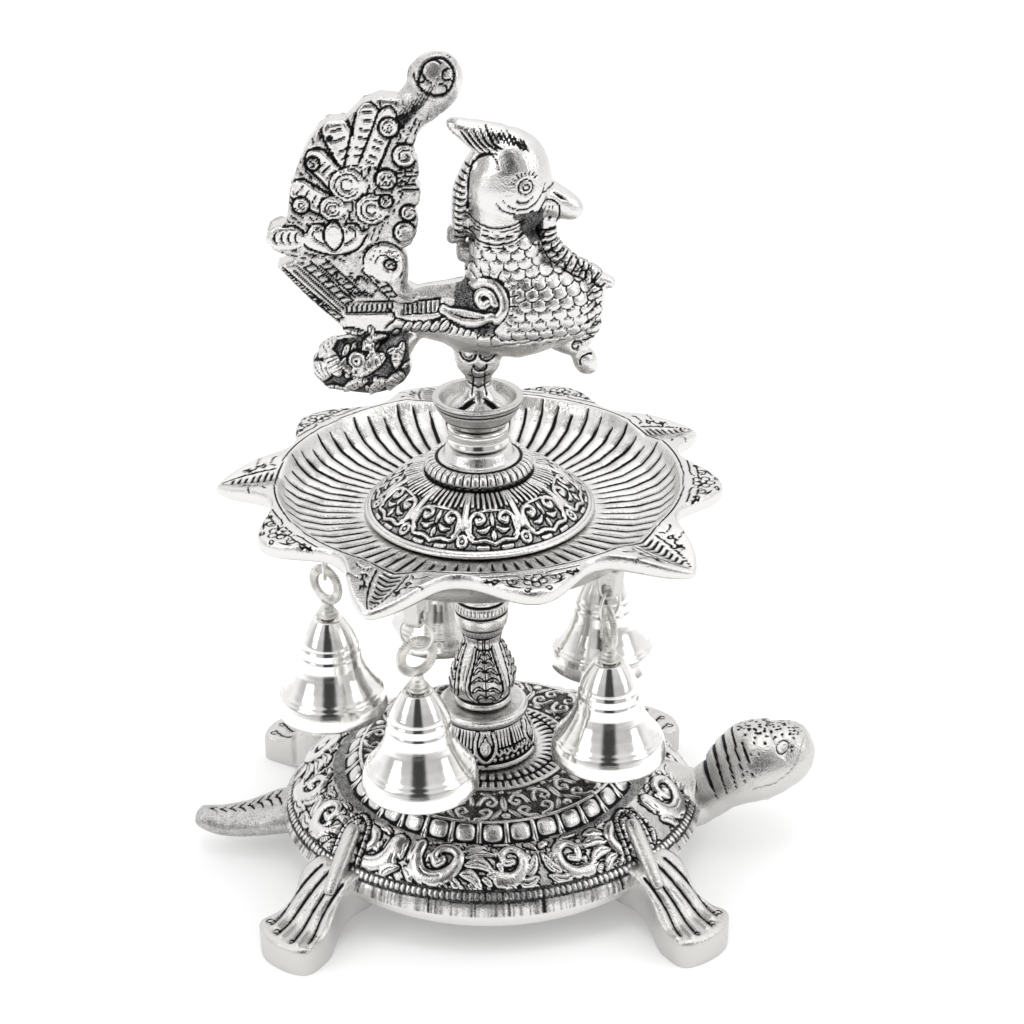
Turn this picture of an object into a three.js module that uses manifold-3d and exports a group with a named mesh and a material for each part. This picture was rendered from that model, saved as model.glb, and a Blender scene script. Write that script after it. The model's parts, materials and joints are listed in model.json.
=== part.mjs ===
// Cast oil lamp stand: a tortoise carries a turned stem, a five-wick tray hung with bells, and a peacock.
// Millimetres, +Z up. The tortoise looks along +X, and the lamp is seen from -Y.
import * as THREE from "three";
import { mergeVertices } from "three/addons/utils/BufferGeometryUtils.js";
import Module from "manifold-3d";

const wasm = await Module();
wasm.setup();

// Place of the stem's axis, so that the origin lies under the middle of the whole stand
const AXIS_X = -5.2;
const AXIS_Y = -2.2;

// Fits between the pieces that the rod clamps together
const SEAT_GAP = 0.3;
const BORE_CLEARANCE = 0.3;
const ROD_R = 3;

// Heights of the stacked castings
const SHELL_SEAT_Z = 36;
const DRUM_H = 15.9;
const STEM_H = 56.7;
const TRAY_FLOOR_T = 8;
const DOME_H = 20.8;
const SPOOL_H = 6;

// Tortoise shell
const SHELL_SHIFT = 2.2;
const SHELL_HALF_WIDTH = 58.5;
const SHELL_HALF_LENGTH = 64.5;
const SHELL_TOP_R = 40.5;
const SHELL_WALL = 4.5;
const SHELL_EDGE_Z = 17;
const SKIRT_H = 7.5;
const SKIRT_RISE = 5.5;
const SCUTE_COUNT = 33;
const SCUTE_FROM_TOP = 2.1;
const SCUTE_L = 6.2;
const SCUTE_W = 3.4;
const SCUTE_H = 0.8;

// Tortoise feet
const FOOT_PAST_END = 1.5;
const FOOT_PAST_SIDE = 7.5;
const FOOT_H = 9;
const FOOT_TO_EDGE_RISE = 3;
const FOOT_ROOT_Z = 6;
const FAR_FEET_BACK = 6;
const FOOT_BEVEL = 1.6;
const FOOT_FACE_L = 7;
const FOOT_GROOVE_R = 0.9;
const LEG_RIDGE_R = 2.6;
const LEG_RIDGE_DEPTH = 3;
const LEG_RIDGE_END_Z = 6.3;
const LEG_RIDGE_FROM_END = 24;
const LEG_RIDGE_FROM_SIDE = 27;

// Washer and nut under the shell
const WASHER_R = 8;
const WASHER_T = 1.2;
const NUT_FLATS = 10;
const NUT_H = 5;
const ROD_END = 2.2;

// Lotus drum
const DRUM_RING_R = 16.4;
const DRUM_DISC_R = 13.6;

// Stem
const STEM_FOOT_R = 8.8;
const STEM_BELLY_R = 9.6;
const STEM_NECK_R = 5.4;
const STEM_COLLAR_R = 8.2;
const STEM_TOP_R = 10.5;
const STEM_TURN = -20;

// Tray
const TRAY_RIM_H = 18.5;
const BOWL_R = 58.4;
const BOWL_FLOOR_R = 36;
const LIP_R = 78;
const PETAL_R = 71;
const VALLEY_R = 61;
const LIP_COUNT = 5;
const LIP_TURN = 30.8;
const LIP_DROP = 3.4;
const PETAL_DROP = 0.8;
const EDGE_T = 5;
const WICK_GROOVE_DEPTH = 2.6;
const WICK_GROOVE_HALF_ANGLE = 9;
const FLUTE_COUNT = 70;
const FLUTE_DEPTH = 0.5;

// Dome and neck on the tray
const DOME_R = 33.8;
const DOME_WALL = 3.2;
const DOME_RING_R = 15.7;
const SPOOL_R = 8.7;

// Peacock
const CUP_R = 13;
const CUP_H = 8.6;
const CUP_FLOOR_Z = 4.2;
const FAN_T = 9;
const FAN_BEVEL = 1.4;
const ROD_IN_CUP = 4.4;

// Where the bells hang
const HANG_R = 46.1;
const HANG_TURNS = [3.9, 3.9, 3.9, -0.4, 3.9];
const LUG_HALF_WIDTH = 3.2;
const LUG_T = 4.2;
const LUG_HOLE_R = 1.7;
const LUG_DROP = 4.2;

// Jump ring and bell eye
const WIRE_R = 0.5;
const RING_R = 5;
const RING_PLAY = 0.7;
const EYE_OUTER_R = 6.4;
const EYE_HOLE_R = 3.4;
const EYE_T = 1.8;
const EYE_PLAY = 0.5;
const EYE_TWIST = 50;
const EYE_NECK_H = 4.6;

// Bell
const BELL_H = 31.4;
const BELL_MOUTH_R = 17;
const BELL_WAIST_R = 8.8;
const BELL_WALL = 1.2;
const CROWN_R = 4.6;
const CROWN_T = 1.6;
const SHANK_R = 1.5;
const SHANK_CLEARANCE = 0.3;
const BELL_NUT_FLATS = 5.5;
const BELL_NUT_H = 2.2;

// Clapper
const TAB_H = 3.6;
const TAB_T = 1.2;
const TAB_HOLE_R = 0.9;
const CLAPPER_WIRE_R = 0.35;
const CLAPPER_LOOP_R = 1.8;
const CLAPPER_PLAY = 0.25;
const CLAPPER_LENGTH = 18.5;
const CLAPPER_BALL_R = 3.2;

const ROD_BORE_R = ROD_R + BORE_CLEARANCE;
const turns = (count) => Array.from({ length: count }, (_, i) => (i / count) * Math.PI * 2);
const degrees = THREE.MathUtils.degToRad;

// Finishes
const silver = { color: 0xc9c8c4, metalness: 1, roughness: 0.3 };
const finishes = {
  casting: silver,
  bell: { color: 0xdedcd8, metalness: 1, roughness: 0.12 },
  wire: { color: 0xd0cec8, metalness: 1, roughness: 0.35 },
  steel: { color: 0x9a9a98, metalness: 1, roughness: 0.45 },
};

// Turns a closed geometry into a solid, with its shared vertices merged and its faces pointing out
function solid(geometry) {
  const bare = geometry.clone();
  bare.deleteAttribute("normal");
  bare.deleteAttribute("uv");
  const merged = mergeVertices(bare, 1e-4);
  const at = merged.attributes.position.array;
  const index = merged.index.array;
  const triangles = [];
  let volume = 0;
  for (let i = 0; i < index.length; i += 3) {
    const [a, b, c] = [index[i], index[i + 1], index[i + 2]];
    if (a === b || b === c || c === a) continue;
    const corner = (n) => new THREE.Vector3(at[3 * n], at[3 * n + 1], at[3 * n + 2]);
    volume += corner(a).dot(corner(b).cross(corner(c)));
    triangles.push([a, b, c]);
  }
  const ordered = triangles.map(([a, b, c]) => (volume > 0 ? [a, b, c] : [a, c, b]));
  return new wasm.Manifold(new wasm.Mesh({
    numProp: 3,
    vertProperties: new Float32Array(at),
    triVerts: new Uint32Array(ordered.flat()),
  }));
}

// A named mesh of a solid
function piece(name, body, finish) {
  const { vertProperties, triVerts } = body.getMesh();
  const geometry = new THREE.BufferGeometry();
  geometry.setAttribute("position", new THREE.BufferAttribute(new Float32Array(vertProperties), 3));
  geometry.setIndex(new THREE.BufferAttribute(new Uint32Array(triVerts), 1));
  geometry.computeVertexNormals();
  const mesh = new THREE.Mesh(geometry, new THREE.MeshStandardMaterial(finishes[finish]));
  mesh.name = name;
  return mesh;
}

function join(solids) {
  return solids.reduce((sum, next) => sum.add(next));
}

// Turns a closed profile of [radius, height] points round the Z axis; the profile may depend on the angle
function revolve(profileAt, segments) {
  const first = profileAt(0);
  const rows = first.length + 1;
  const dummy = [...first, first[0]].map(([r, z]) => new THREE.Vector2(r, z));
  const geometry = new THREE.LatheGeometry(dummy, segments);
  const position = geometry.attributes.position;
  for (let i = 0; i <= segments; i += 1) {
    const angle = ((i % segments) / segments) * Math.PI * 2;
    const profile = profileAt(angle);
    for (let j = 0; j < rows; j += 1) {
      const [r, z] = profile[j % first.length];
      position.setXYZ(i * rows + j, r * Math.cos(angle), r * Math.sin(angle), z);
    }
  }
  return solid(geometry);
}

// A body with oval sections along a path. A station is [x, z, half width in the XZ plane, half depth along Y]
function loft(stations, sides = 10) {
  const centres = stations.map(([x, z]) => new THREE.Vector3(x, 0, z));
  const geometry = new THREE.SphereGeometry(1, sides, stations.length - 1);
  const position = geometry.attributes.position;
  const depth = new THREE.Vector3(0, 1, 0);
  stations.forEach(([, , halfWidth, halfDepth], row) => {
    const before = centres[Math.max(row - 1, 0)];
    const after = centres[Math.min(row + 1, centres.length - 1)];
    const along = after.clone().sub(before).normalize();
    const across = along.clone().cross(depth).negate();
    for (let i = 0; i <= sides; i += 1) {
      const angle = ((i % sides) / sides) * Math.PI * 2;
      const point = centres[row].clone();
      point.addScaledVector(across, -halfWidth * Math.cos(angle));
      point.addScaledVector(depth, halfDepth * Math.sin(angle));
      position.setXYZ(row * (sides + 1) + i, point.x, point.y, point.z);
    }
  });
  return solid(geometry);
}

// An upright cylinder from one height to another
function cylinder(radius, low, high, sides = 24) {
  const geometry = new THREE.CylinderGeometry(radius, radius, high - low, sides);
  geometry.rotateX(Math.PI / 2);
  geometry.translate(0, 0, (low + high) / 2);
  return solid(geometry);
}

// A hexagonal nut with its bore, standing on z = 0
function nut(flats, height, boreR) {
  const corner = flats / 2 / Math.cos(Math.PI / 6);
  return cylinder(corner, 0, height, 6).subtract(cylinder(boreR, -1, height + 1, 12));
}

// Reads a list of [place, value] pairs at a place between them
function between(table, place) {
  const last = table.findIndex(([at]) => at >= place);
  if (last <= 0) return last === 0 ? table[0][1] : table[table.length - 1][1];
  const [a, b] = [table[last - 1], table[last]];
  return a[1] + ((b[1] - a[1]) * (place - a[0])) / (b[0] - a[0]);
}

// Tortoise

// The shell's slope: how far out from its top's rim, and how high above its edge, both as shares
const SHELL_SLOPE = [[0, 1], [0.19, 0.77], [0.53, 0.6], [0.81, 0.31], [1, 0]];
const SHELL_DROP = SHELL_SEAT_Z - 1.5 - SHELL_EDGE_Z;

function shellSlopeZ(x, y) {
  const r = Math.hypot((x * SHELL_HALF_WIDTH) / SHELL_HALF_LENGTH, y);
  const out = THREE.MathUtils.clamp((r - SHELL_TOP_R) / (SHELL_HALF_WIDTH - SHELL_TOP_R), 0, 1);
  return SHELL_EDGE_Z + SHELL_DROP * between(SHELL_SLOPE, out);
}

function tortoiseShell() {
  const edge = SHELL_HALF_WIDTH;
  const span = edge - SHELL_TOP_R;
  const underZ = SHELL_SEAT_Z - SHELL_WALL;
  const stretch = SHELL_HALF_LENGTH / SHELL_HALF_WIDTH - 1;
  const outside = [
    [0, SHELL_SEAT_Z],
    [19.5, SHELL_SEAT_Z],
    [24.5, SHELL_SEAT_Z - 0.8],
    ...SHELL_SLOPE.map(([out, up]) => [SHELL_TOP_R + out * span, SHELL_EDGE_Z + up * SHELL_DROP]),
    [edge + 0.6, SHELL_EDGE_Z - 0.45 * SKIRT_H],
    [edge, SHELL_EDGE_Z - SKIRT_H],
  ];
  const inside = [
    [edge - 2.8, SHELL_EDGE_Z - SKIRT_H],
    [edge - 3.8, SHELL_EDGE_Z - 1.5],
    [SHELL_TOP_R + 0.58 * span, SHELL_EDGE_Z + 0.26 * SHELL_DROP],
    [SHELL_TOP_R + 0.2 * span, SHELL_EDGE_Z + 0.5 * SHELL_DROP],
    [SHELL_TOP_R - 3, underZ - 2],
    [SHELL_TOP_R - 16, underZ],
    [0, underZ],
  ];
  const profileAt = (angle) => [...outside, ...inside].map(([r, z]) => {
    const out = THREE.MathUtils.clamp((r - SHELL_TOP_R) / span, 0, 1);
    const low = THREE.MathUtils.clamp((SHELL_EDGE_Z - z) / SKIRT_H, 0, 1);
    const x = r * Math.cos(angle) * (1 + stretch * out);
    const y = r * Math.sin(angle);
    return [Math.hypot(x, y), z + SKIRT_RISE * low * Math.cos(angle) ** 2];
  });
  return revolve(profileAt, 32);
}

// The ring of raised scutes round the shell's top
function scutes() {
  const r = SHELL_TOP_R + SCUTE_FROM_TOP;
  const out = SCUTE_FROM_TOP / (SHELL_HALF_WIDTH - SHELL_TOP_R);
  const stretch = 1 + (SHELL_HALF_LENGTH / SHELL_HALF_WIDTH - 1) * out;
  const [inZ, outZ] = [shellSlopeZ(0, r - 1.5), shellSlopeZ(0, r + 1.5)];
  const block = solid(new THREE.BoxGeometry(SCUTE_W, SCUTE_L, 2 * SCUTE_H))
    .rotate([0, THREE.MathUtils.radToDeg(Math.atan2(inZ - outZ, 3)), 0]);
  return turns(SCUTE_COUNT).map((angle) => {
    const turn = angle - Math.PI / 2;
    return block.rotate([0, 0, THREE.MathUtils.radToDeg(turn)])
      .translate([r * Math.cos(turn) * stretch, r * Math.sin(turn), (inZ + outZ) / 2]);
  });
}

// How high a foot's top stands over its flat toes, from a place measured from the middle of the shell
function footInward(x, y) {
  const [endX, endY] = [SHELL_HALF_LENGTH + FOOT_PAST_END, SHELL_HALF_WIDTH + FOOT_PAST_SIDE];
  return endX + endY - 13.2 - Math.abs(x) - Math.abs(y);
}

function footRise(x, y) {
  return (SHELL_EDGE_Z + FOOT_TO_EDGE_RISE - FOOT_H) * THREE.MathUtils.smoothstep(footInward(x, y), 4, 34);
}

// One long groove over a foot's web, from near the shell to the toes
function footGroove([x0, y0], [x1, y1]) {
  const length = Math.hypot(x1 - x0, y1 - y0);
  const stations = [0, 0.1, 0.35, 0.65, 0.9, 1].map((share, i) => {
    const [x, y] = [x0 + (x1 - x0) * share, y0 + (y1 - y0) * share];
    const r = i % 5 ? FOOT_GROOVE_R : 0;
    return [length * share, FOOT_H + footRise(x, y), r, r];
  });
  return loft(stations, 6).rotate([0, 0, THREE.MathUtils.radToDeg(Math.atan2(y1 - y0, x1 - x0))])
    .translate([x0, y0, 0]);
}

const FOOT_GROOVES = [
  [[-21.5, -18.5], [-12.2, -3.4]], [[-19.5, -21.5], [-7.4, -4.2]], [[-17.5, -24.5], [-2.6, -8]],
  [[-15, -27.5], [-0.8, -13]],
];

// One flat webbed foot, whose root rises to the shell; sx and sy pick the corner that it stands at
function foot(sx, sy) {
  const [endX, endY] = [SHELL_HALF_LENGTH + FOOT_PAST_END, SHELL_HALF_WIDTH + FOOT_PAST_SIDE];
  const outline = [
    [-30, -24], [-21.5, -15.5], [-17.5, -7], [-13, -0.8], [-9, 0], [-3.5, -3], [1, -7.5], [2.8, -12.5],
    [2.2, -16.5], [-6, -22], [-10, -30], [-22, -34],
  ].map(([x, y]) => [endX + x, endY + y]);
  const inset = outline.map(([x, y]) => {
    const middle = new THREE.Vector2(endX - 13, endY - 17);
    const towards = middle.sub(new THREE.Vector2(x, y)).setLength(FOOT_BEVEL);
    return new THREE.Vector2((x + towards.x) * sx, (y + towards.y) * sy);
  });
  const depth = FOOT_H - 2 * FOOT_BEVEL + 2;
  const geometry = new THREE.ExtrudeGeometry(new THREE.Shape(inset), {
    depth, bevelThickness: FOOT_BEVEL, bevelSize: FOOT_BEVEL, bevelSegments: 2, curveSegments: 4,
  });
  geometry.translate(0, 0, FOOT_BEVEL - 2);
  const body = solid(geometry).refineToLength(FOOT_FACE_L).warp((point) => {
    const [x, y, z] = point;
    const lift = (FOOT_ROOT_Z + 2) * THREE.MathUtils.smoothstep(footInward(x, y), 8, 32);
    const up = THREE.MathUtils.clamp(z / FOOT_H, 0, 1);
    point[2] = z + lift + (footRise(x, y) - lift) * up;
  });
  const grooves = FOOT_GROOVES.map((ends) => {
    const [from, to] = ends.map(([x, y]) => [(endX + x) * sx, (endY + y) * sy]);
    return footGroove(from, to);
  });
  return body.subtract(join(grooves)).translate([sy > 0 ? -FAR_FEET_BACK : 0, 0, 0]);
}

function legRidge(sx, sy) {
  const [x, y] = [SHELL_HALF_LENGTH - LEG_RIDGE_FROM_END, SHELL_HALF_WIDTH - LEG_RIDGE_FROM_SIDE];
  const top = shellSlopeZ(x, y);
  const fall = FOOT_H + LEG_RIDGE_END_Z - top;
  const stations = [
    [0, 0, 0], [0.8, 0.03, 1.9], [3.5, 0.12, LEG_RIDGE_R], [12, 0.58, LEG_RIDGE_R], [18, 0.92, 1.9],
    [19.5, 1, 0],
  ].map(([along, down, r]) => [along, down * fall, r, r]);
  const heading = Math.atan2(sy * 2.2, sx);
  const bar = loft(stations, 8);
  return bar.add(bar.translate([0, 0, -LEG_RIDGE_DEPTH]))
    .rotate([0, 0, THREE.MathUtils.radToDeg(heading)])
    .translate([x * sx, y * sy, top]);
}

function tortoiseHead() {
  const front = SHELL_HALF_LENGTH;
  return loft([
    [front - 16, 20, 0, 0], [front - 14, 20, 8, 12], [front - 3.5, 15, 9, 10.5], [front + 1.5, 16, 8, 9],
    [front + 6.5, 20, 8, 10.2], [front + 11.5, 24.5, 10.8, 12.6], [front + 16.5, 27.8, 12.6, 13.4],
    [front + 22, 29.8, 11.8, 12.6], [front + 26.5, 31.8, 10.4, 11], [front + 30.4, 35.2, 7.4, 8],
    [front + 32.6, 37.2, 3.6, 4.4], [front + 33.4, 37.8, 0, 0],
  ], 12);
}

function tortoiseTail() {
  const back = -SHELL_HALF_LENGTH;
  return loft([
    [back + 10, 14.5, 0, 0], [back + 8.5, 14.3, 5.5, 10.5], [back - 1.5, 12.6, 5.6, 9.5],
    [back - 10.5, 10.4, 4.7, 7.6], [back - 19.5, 9.8, 4, 6.2], [back - 26, 11.3, 3.2, 4.2],
    [back - 28, 12, 0, 0],
  ], 10);
}

function tortoise() {
  const corners = [[1, -1], [-1, -1], [1, 1], [-1, 1]];
  const feet = corners.map(([sx, sy]) => foot(sx, sy));
  const ridges = corners.map(([sx, sy]) => legRidge(sx, sy));
  const shell = join([tortoiseShell(), ...scutes()]);
  const whole = join([shell, ...feet, ...ridges, tortoiseHead(), tortoiseTail()]);
  const underZ = SHELL_SEAT_Z - SHELL_WALL;
  const below = solid(new THREE.BoxGeometry(300, 300, 20).translate(0, 0, -10));
  const ways = cylinder(WASHER_R + 2, -1, underZ).add(cylinder(ROD_BORE_R, 0, SHELL_SEAT_Z + 1, 12));
  return whole.translate([SHELL_SHIFT, 0, 0]).subtract(below).subtract(ways);
}

// Drum, stem, dome and neck

function lotusDrum() {
  const [ring, disc] = [DRUM_RING_R, DRUM_DISC_R];
  const profile = [
    [ROD_BORE_R, 0], [ring - 0.7, 0], [ring, 0.7], [ring - 0.2, 1.6], [ring - 0.9, 2],
    [ring - 1.4, 5], [disc + 0.1, 9], [disc - 0.9, 11.6], [disc - 1, 12.6],
    [disc, 13.2], [disc, DRUM_H - 0.8], [disc - 0.8, DRUM_H], [ROD_BORE_R, DRUM_H],
  ];
  return revolve(() => profile, 24);
}

// The stem is round, but its belly is a rounded square
function stem() {
  const top = STEM_H;
  const profile = [
    [ROD_BORE_R, 0], [STEM_FOOT_R, 0], [STEM_FOOT_R, 1.6], [STEM_FOOT_R - 0.9, 2.6],
    [STEM_BELLY_R - 0.7, 4.5], [STEM_BELLY_R, 8], [STEM_BELLY_R - 0.7, 12], [STEM_NECK_R + 1.4, 17.5],
    [STEM_NECK_R, 21.4],
    [STEM_COLLAR_R - 1.4, 25.4], [STEM_COLLAR_R, 30], [STEM_COLLAR_R, 34], [STEM_NECK_R + 0.8, 40.5],
    [STEM_NECK_R + 0.6, 45], [STEM_TOP_R - 1.4, top - 4.4], [STEM_TOP_R, top], [ROD_BORE_R, top],
  ];
  const profileAt = (angle) => profile.map(([r, z]) => {
    const inBelly = THREE.MathUtils.smoothstep(z, 2, 5) * (1 - THREE.MathUtils.smoothstep(z, 16, 22));
    const square = r > ROD_BORE_R ? 0.7 * inBelly : 0;
    const c = Math.abs(Math.cos(angle - degrees(STEM_TURN)));
    const s = Math.abs(Math.sin(angle - degrees(STEM_TURN)));
    const bulge = 1 / (c ** 4 + s ** 4) ** 0.25;
    return [r * (1 + square * (bulge - 1)), z];
  });
  return revolve(profileAt, 20);
}

function dome() {
  const [foot_, ring, top] = [DOME_R, DOME_RING_R, DOME_H];
  const outside = [
    [foot_, 0], [foot_, 1.2], [foot_ - 1.8, 2], [foot_ - 5, 4.4], [foot_ - 8.8, 8], [ring + 4.8, 10.6],
    [ring - 0.9, 12.4], [ring, 14], [ring - 1, 16], [SPOOL_R + 1.8, 17.4], [SPOOL_R + 0.6, top],
  ];
  const inside = [
    [ROD_BORE_R, top], [ROD_BORE_R, top - 3.4], [SPOOL_R + 1, 12.4], [ring + 1, 8.8],
    [foot_ - 6.4 - DOME_WALL, 3.4], [foot_ - 1.6 - DOME_WALL, 0],
  ];
  return revolve(() => [...outside, ...inside], 26);
}

function spool() {
  const profile = [
    [ROD_BORE_R, 0], [SPOOL_R + 0.6, 0], [SPOOL_R - 0.1, 2.4], [SPOOL_R + 0.2, SPOOL_H - 0.6],
    [SPOOL_R - 0.1, SPOOL_H], [ROD_BORE_R, SPOOL_H],
  ];
  return revolve(() => profile, 22);
}

// Tray

// How far the outline stands out from the valleys, from the middle of a lip or petal to the next valley
const LIP_SHAPE = [
  [0, 1], [0.14, 0.883], [0.28, 0.731], [0.42, 0.532], [0.56, 0.316], [0.7, 0.135], [0.83, 0.035], [1, 0],
];
const PETAL_SHAPE = [
  [0, 1], [0.17, 0.912], [0.33, 0.725], [0.5, 0.473], [0.67, 0.231], [0.83, 0.066], [1, 0],
];

function trayEdge(angle) {
  const pitch = 360 / LIP_COUNT;
  const past = THREE.MathUtils.radToDeg(angle) + pitch / 2;
  const fromLip = Math.abs(THREE.MathUtils.euclideanModulo(past, pitch) - pitch / 2);
  const isLip = fromLip < pitch / 4;
  const offset = isLip ? fromLip : pitch / 2 - fromLip;
  const out = between(isLip ? LIP_SHAPE : PETAL_SHAPE, offset / (pitch / 4));
  const tip = isLip ? LIP_R : PETAL_R;
  const groove = Math.max(0, 1 - fromLip / WICK_GROOVE_HALF_ANGLE);
  return { r: VALLEY_R + (tip - VALLEY_R) * out, drop: (isLip ? LIP_DROP : PETAL_DROP) * out ** 1.5, groove };
}

function trayPlate() {
  const [rim, floor, bowl] = [TRAY_RIM_H, TRAY_FLOOR_T, BOWL_R];
  const wall = bowl - BOWL_FLOOR_R;
  const profileAt = (angle) => {
    const { r, drop, groove } = trayEdge(angle);
    const cut = WICK_GROOVE_DEPTH * groove;
    const flute = Math.round((angle * FLUTE_COUNT) / Math.PI) % 2 ? FLUTE_DEPTH : 0;
    return [
      [ROD_BORE_R, floor], [BOWL_FLOOR_R, floor], [BOWL_FLOOR_R + 0.45 * wall, floor + 0.8 - flute],
      [BOWL_FLOOR_R + 0.75 * wall, floor + 3.2 - flute],
      [BOWL_FLOOR_R + 0.92 * wall, floor + 6.8 - 0.3 * cut - flute],
      [bowl, rim - 0.8 * cut], [bowl + 0.5 * (r - bowl), rim - 0.35 * drop - cut],
      [r - 0.8, rim - 0.9 * drop - 0.7 * cut], [r, rim - drop - 1.2 - 0.5 * cut],
      [r, rim - drop - 0.8 * EDGE_T], [r - 1.4, rim - drop - EDGE_T], [bowl - 2.4, rim - EDGE_T - 2],
      [bowl - 7, floor - 2.6],
      [HANG_R, 1], [STEM_TOP_R + 2, 0], [ROD_BORE_R, 0],
    ];
  };
  return revolve(profileAt, 2 * FLUTE_COUNT).rotate([0, 0, LIP_TURN]);
}

// A lug under the tray, in the hanging point's frame: X away from the stem and Y along its hole
function lug() {
  const outline = new THREE.Shape();
  outline.absarc(0, 0, LUG_HALF_WIDTH, 0, -Math.PI, true);
  outline.lineTo(-LUG_HALF_WIDTH - 0.6, LUG_DROP + 3.2);
  outline.lineTo(LUG_HALF_WIDTH + 0.6, LUG_DROP + 3.2);
  outline.closePath();
  outline.holes.push(new THREE.Path().absarc(0, 0, LUG_HOLE_R, 0, Math.PI * 2, false));
  const flat = { depth: LUG_T, bevelEnabled: false, curveSegments: 6 };
  const geometry = new THREE.ExtrudeGeometry(outline, flat);
  geometry.translate(0, 0, -LUG_T / 2);
  geometry.rotateX(Math.PI / 2);
  return solid(geometry);
}

const hangAngles = turns(LIP_COUNT).map((angle, i) => angle + degrees(LIP_TURN + HANG_TURNS[i]));

function tray() {
  const lugs = hangAngles.map((angle) => lug()
    .translate([HANG_R, 0, -LUG_DROP])
    .rotate([0, 0, THREE.MathUtils.radToDeg(angle)]));
  return join([trayPlate(), ...lugs]);
}

// Peacock, in the XZ plane, with z = 0 at the foot of its cup

const TAIL_FAN = [
  [-57, 57.7], [-55.8, 60.8], [-51.5, 62.2], [-50.3, 70.6], [-48, 77.7], [-45.5, 83.3], [-41.8, 88.8],
  [-38.4, 91], [-34.3, 91], [-32.5, 92.8], [-29.6, 95.6], [-24.8, 97.5], [-19.4, 96.8], [-14, 90],
  [-15.7, 84.2],
  [-17, 81.4], [-15, 79.2], [-14.6, 75.5], [-16, 73.4], [-14.4, 71], [-14.8, 67.4], [-16.4, 65.6],
  [-15.2, 62.6], [-16, 58.6], [-17.4, 55.5], [-20.6, 53.6], [-19.6, 50.4], [-22.4, 46], [-19, 41],
  [-20, 31], [-30, 26.5],
  [-36.9, 30.6], [-46, 39.5], [-55, 49.7], [-49.2, 51.6], [-55.6, 54.2],
];

function tailFan() {
  const middle = new THREE.Vector2(-33, 66);
  const inset = TAIL_FAN.map(([x, z]) => {
    const point = new THREE.Vector2(x, z);
    return point.add(middle.clone().sub(point).setLength(FAN_BEVEL));
  });
  const geometry = new THREE.ExtrudeGeometry(new THREE.Shape(inset), {
    depth: FAN_T - 2 * FAN_BEVEL, bevelThickness: FAN_BEVEL, bevelSize: FAN_BEVEL, bevelSegments: 1,
  });
  geometry.translate(0, 0, FAN_BEVEL - FAN_T / 2);
  geometry.rotateX(Math.PI / 2);
  return solid(geometry);
}

function cup() {
  const profile = [
    [0, 0], [SPOOL_R - 0.1, 0], [SPOOL_R + 0.2, 0.9], [CUP_R - 2.8, 2.2], [CUP_R - 2.2, 3.2],
    [CUP_R - 1, 5],
    [CUP_R - 0.8, 6], [CUP_R, 7.4], [CUP_R, CUP_H], [CUP_R - 1.8, CUP_H], [CUP_R - 3.4, 5.6],
    [CUP_R - 6, CUP_FLOOR_Z],
    [0, CUP_FLOOR_Z],
  ];
  return revolve(() => profile, 28);
}

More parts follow.
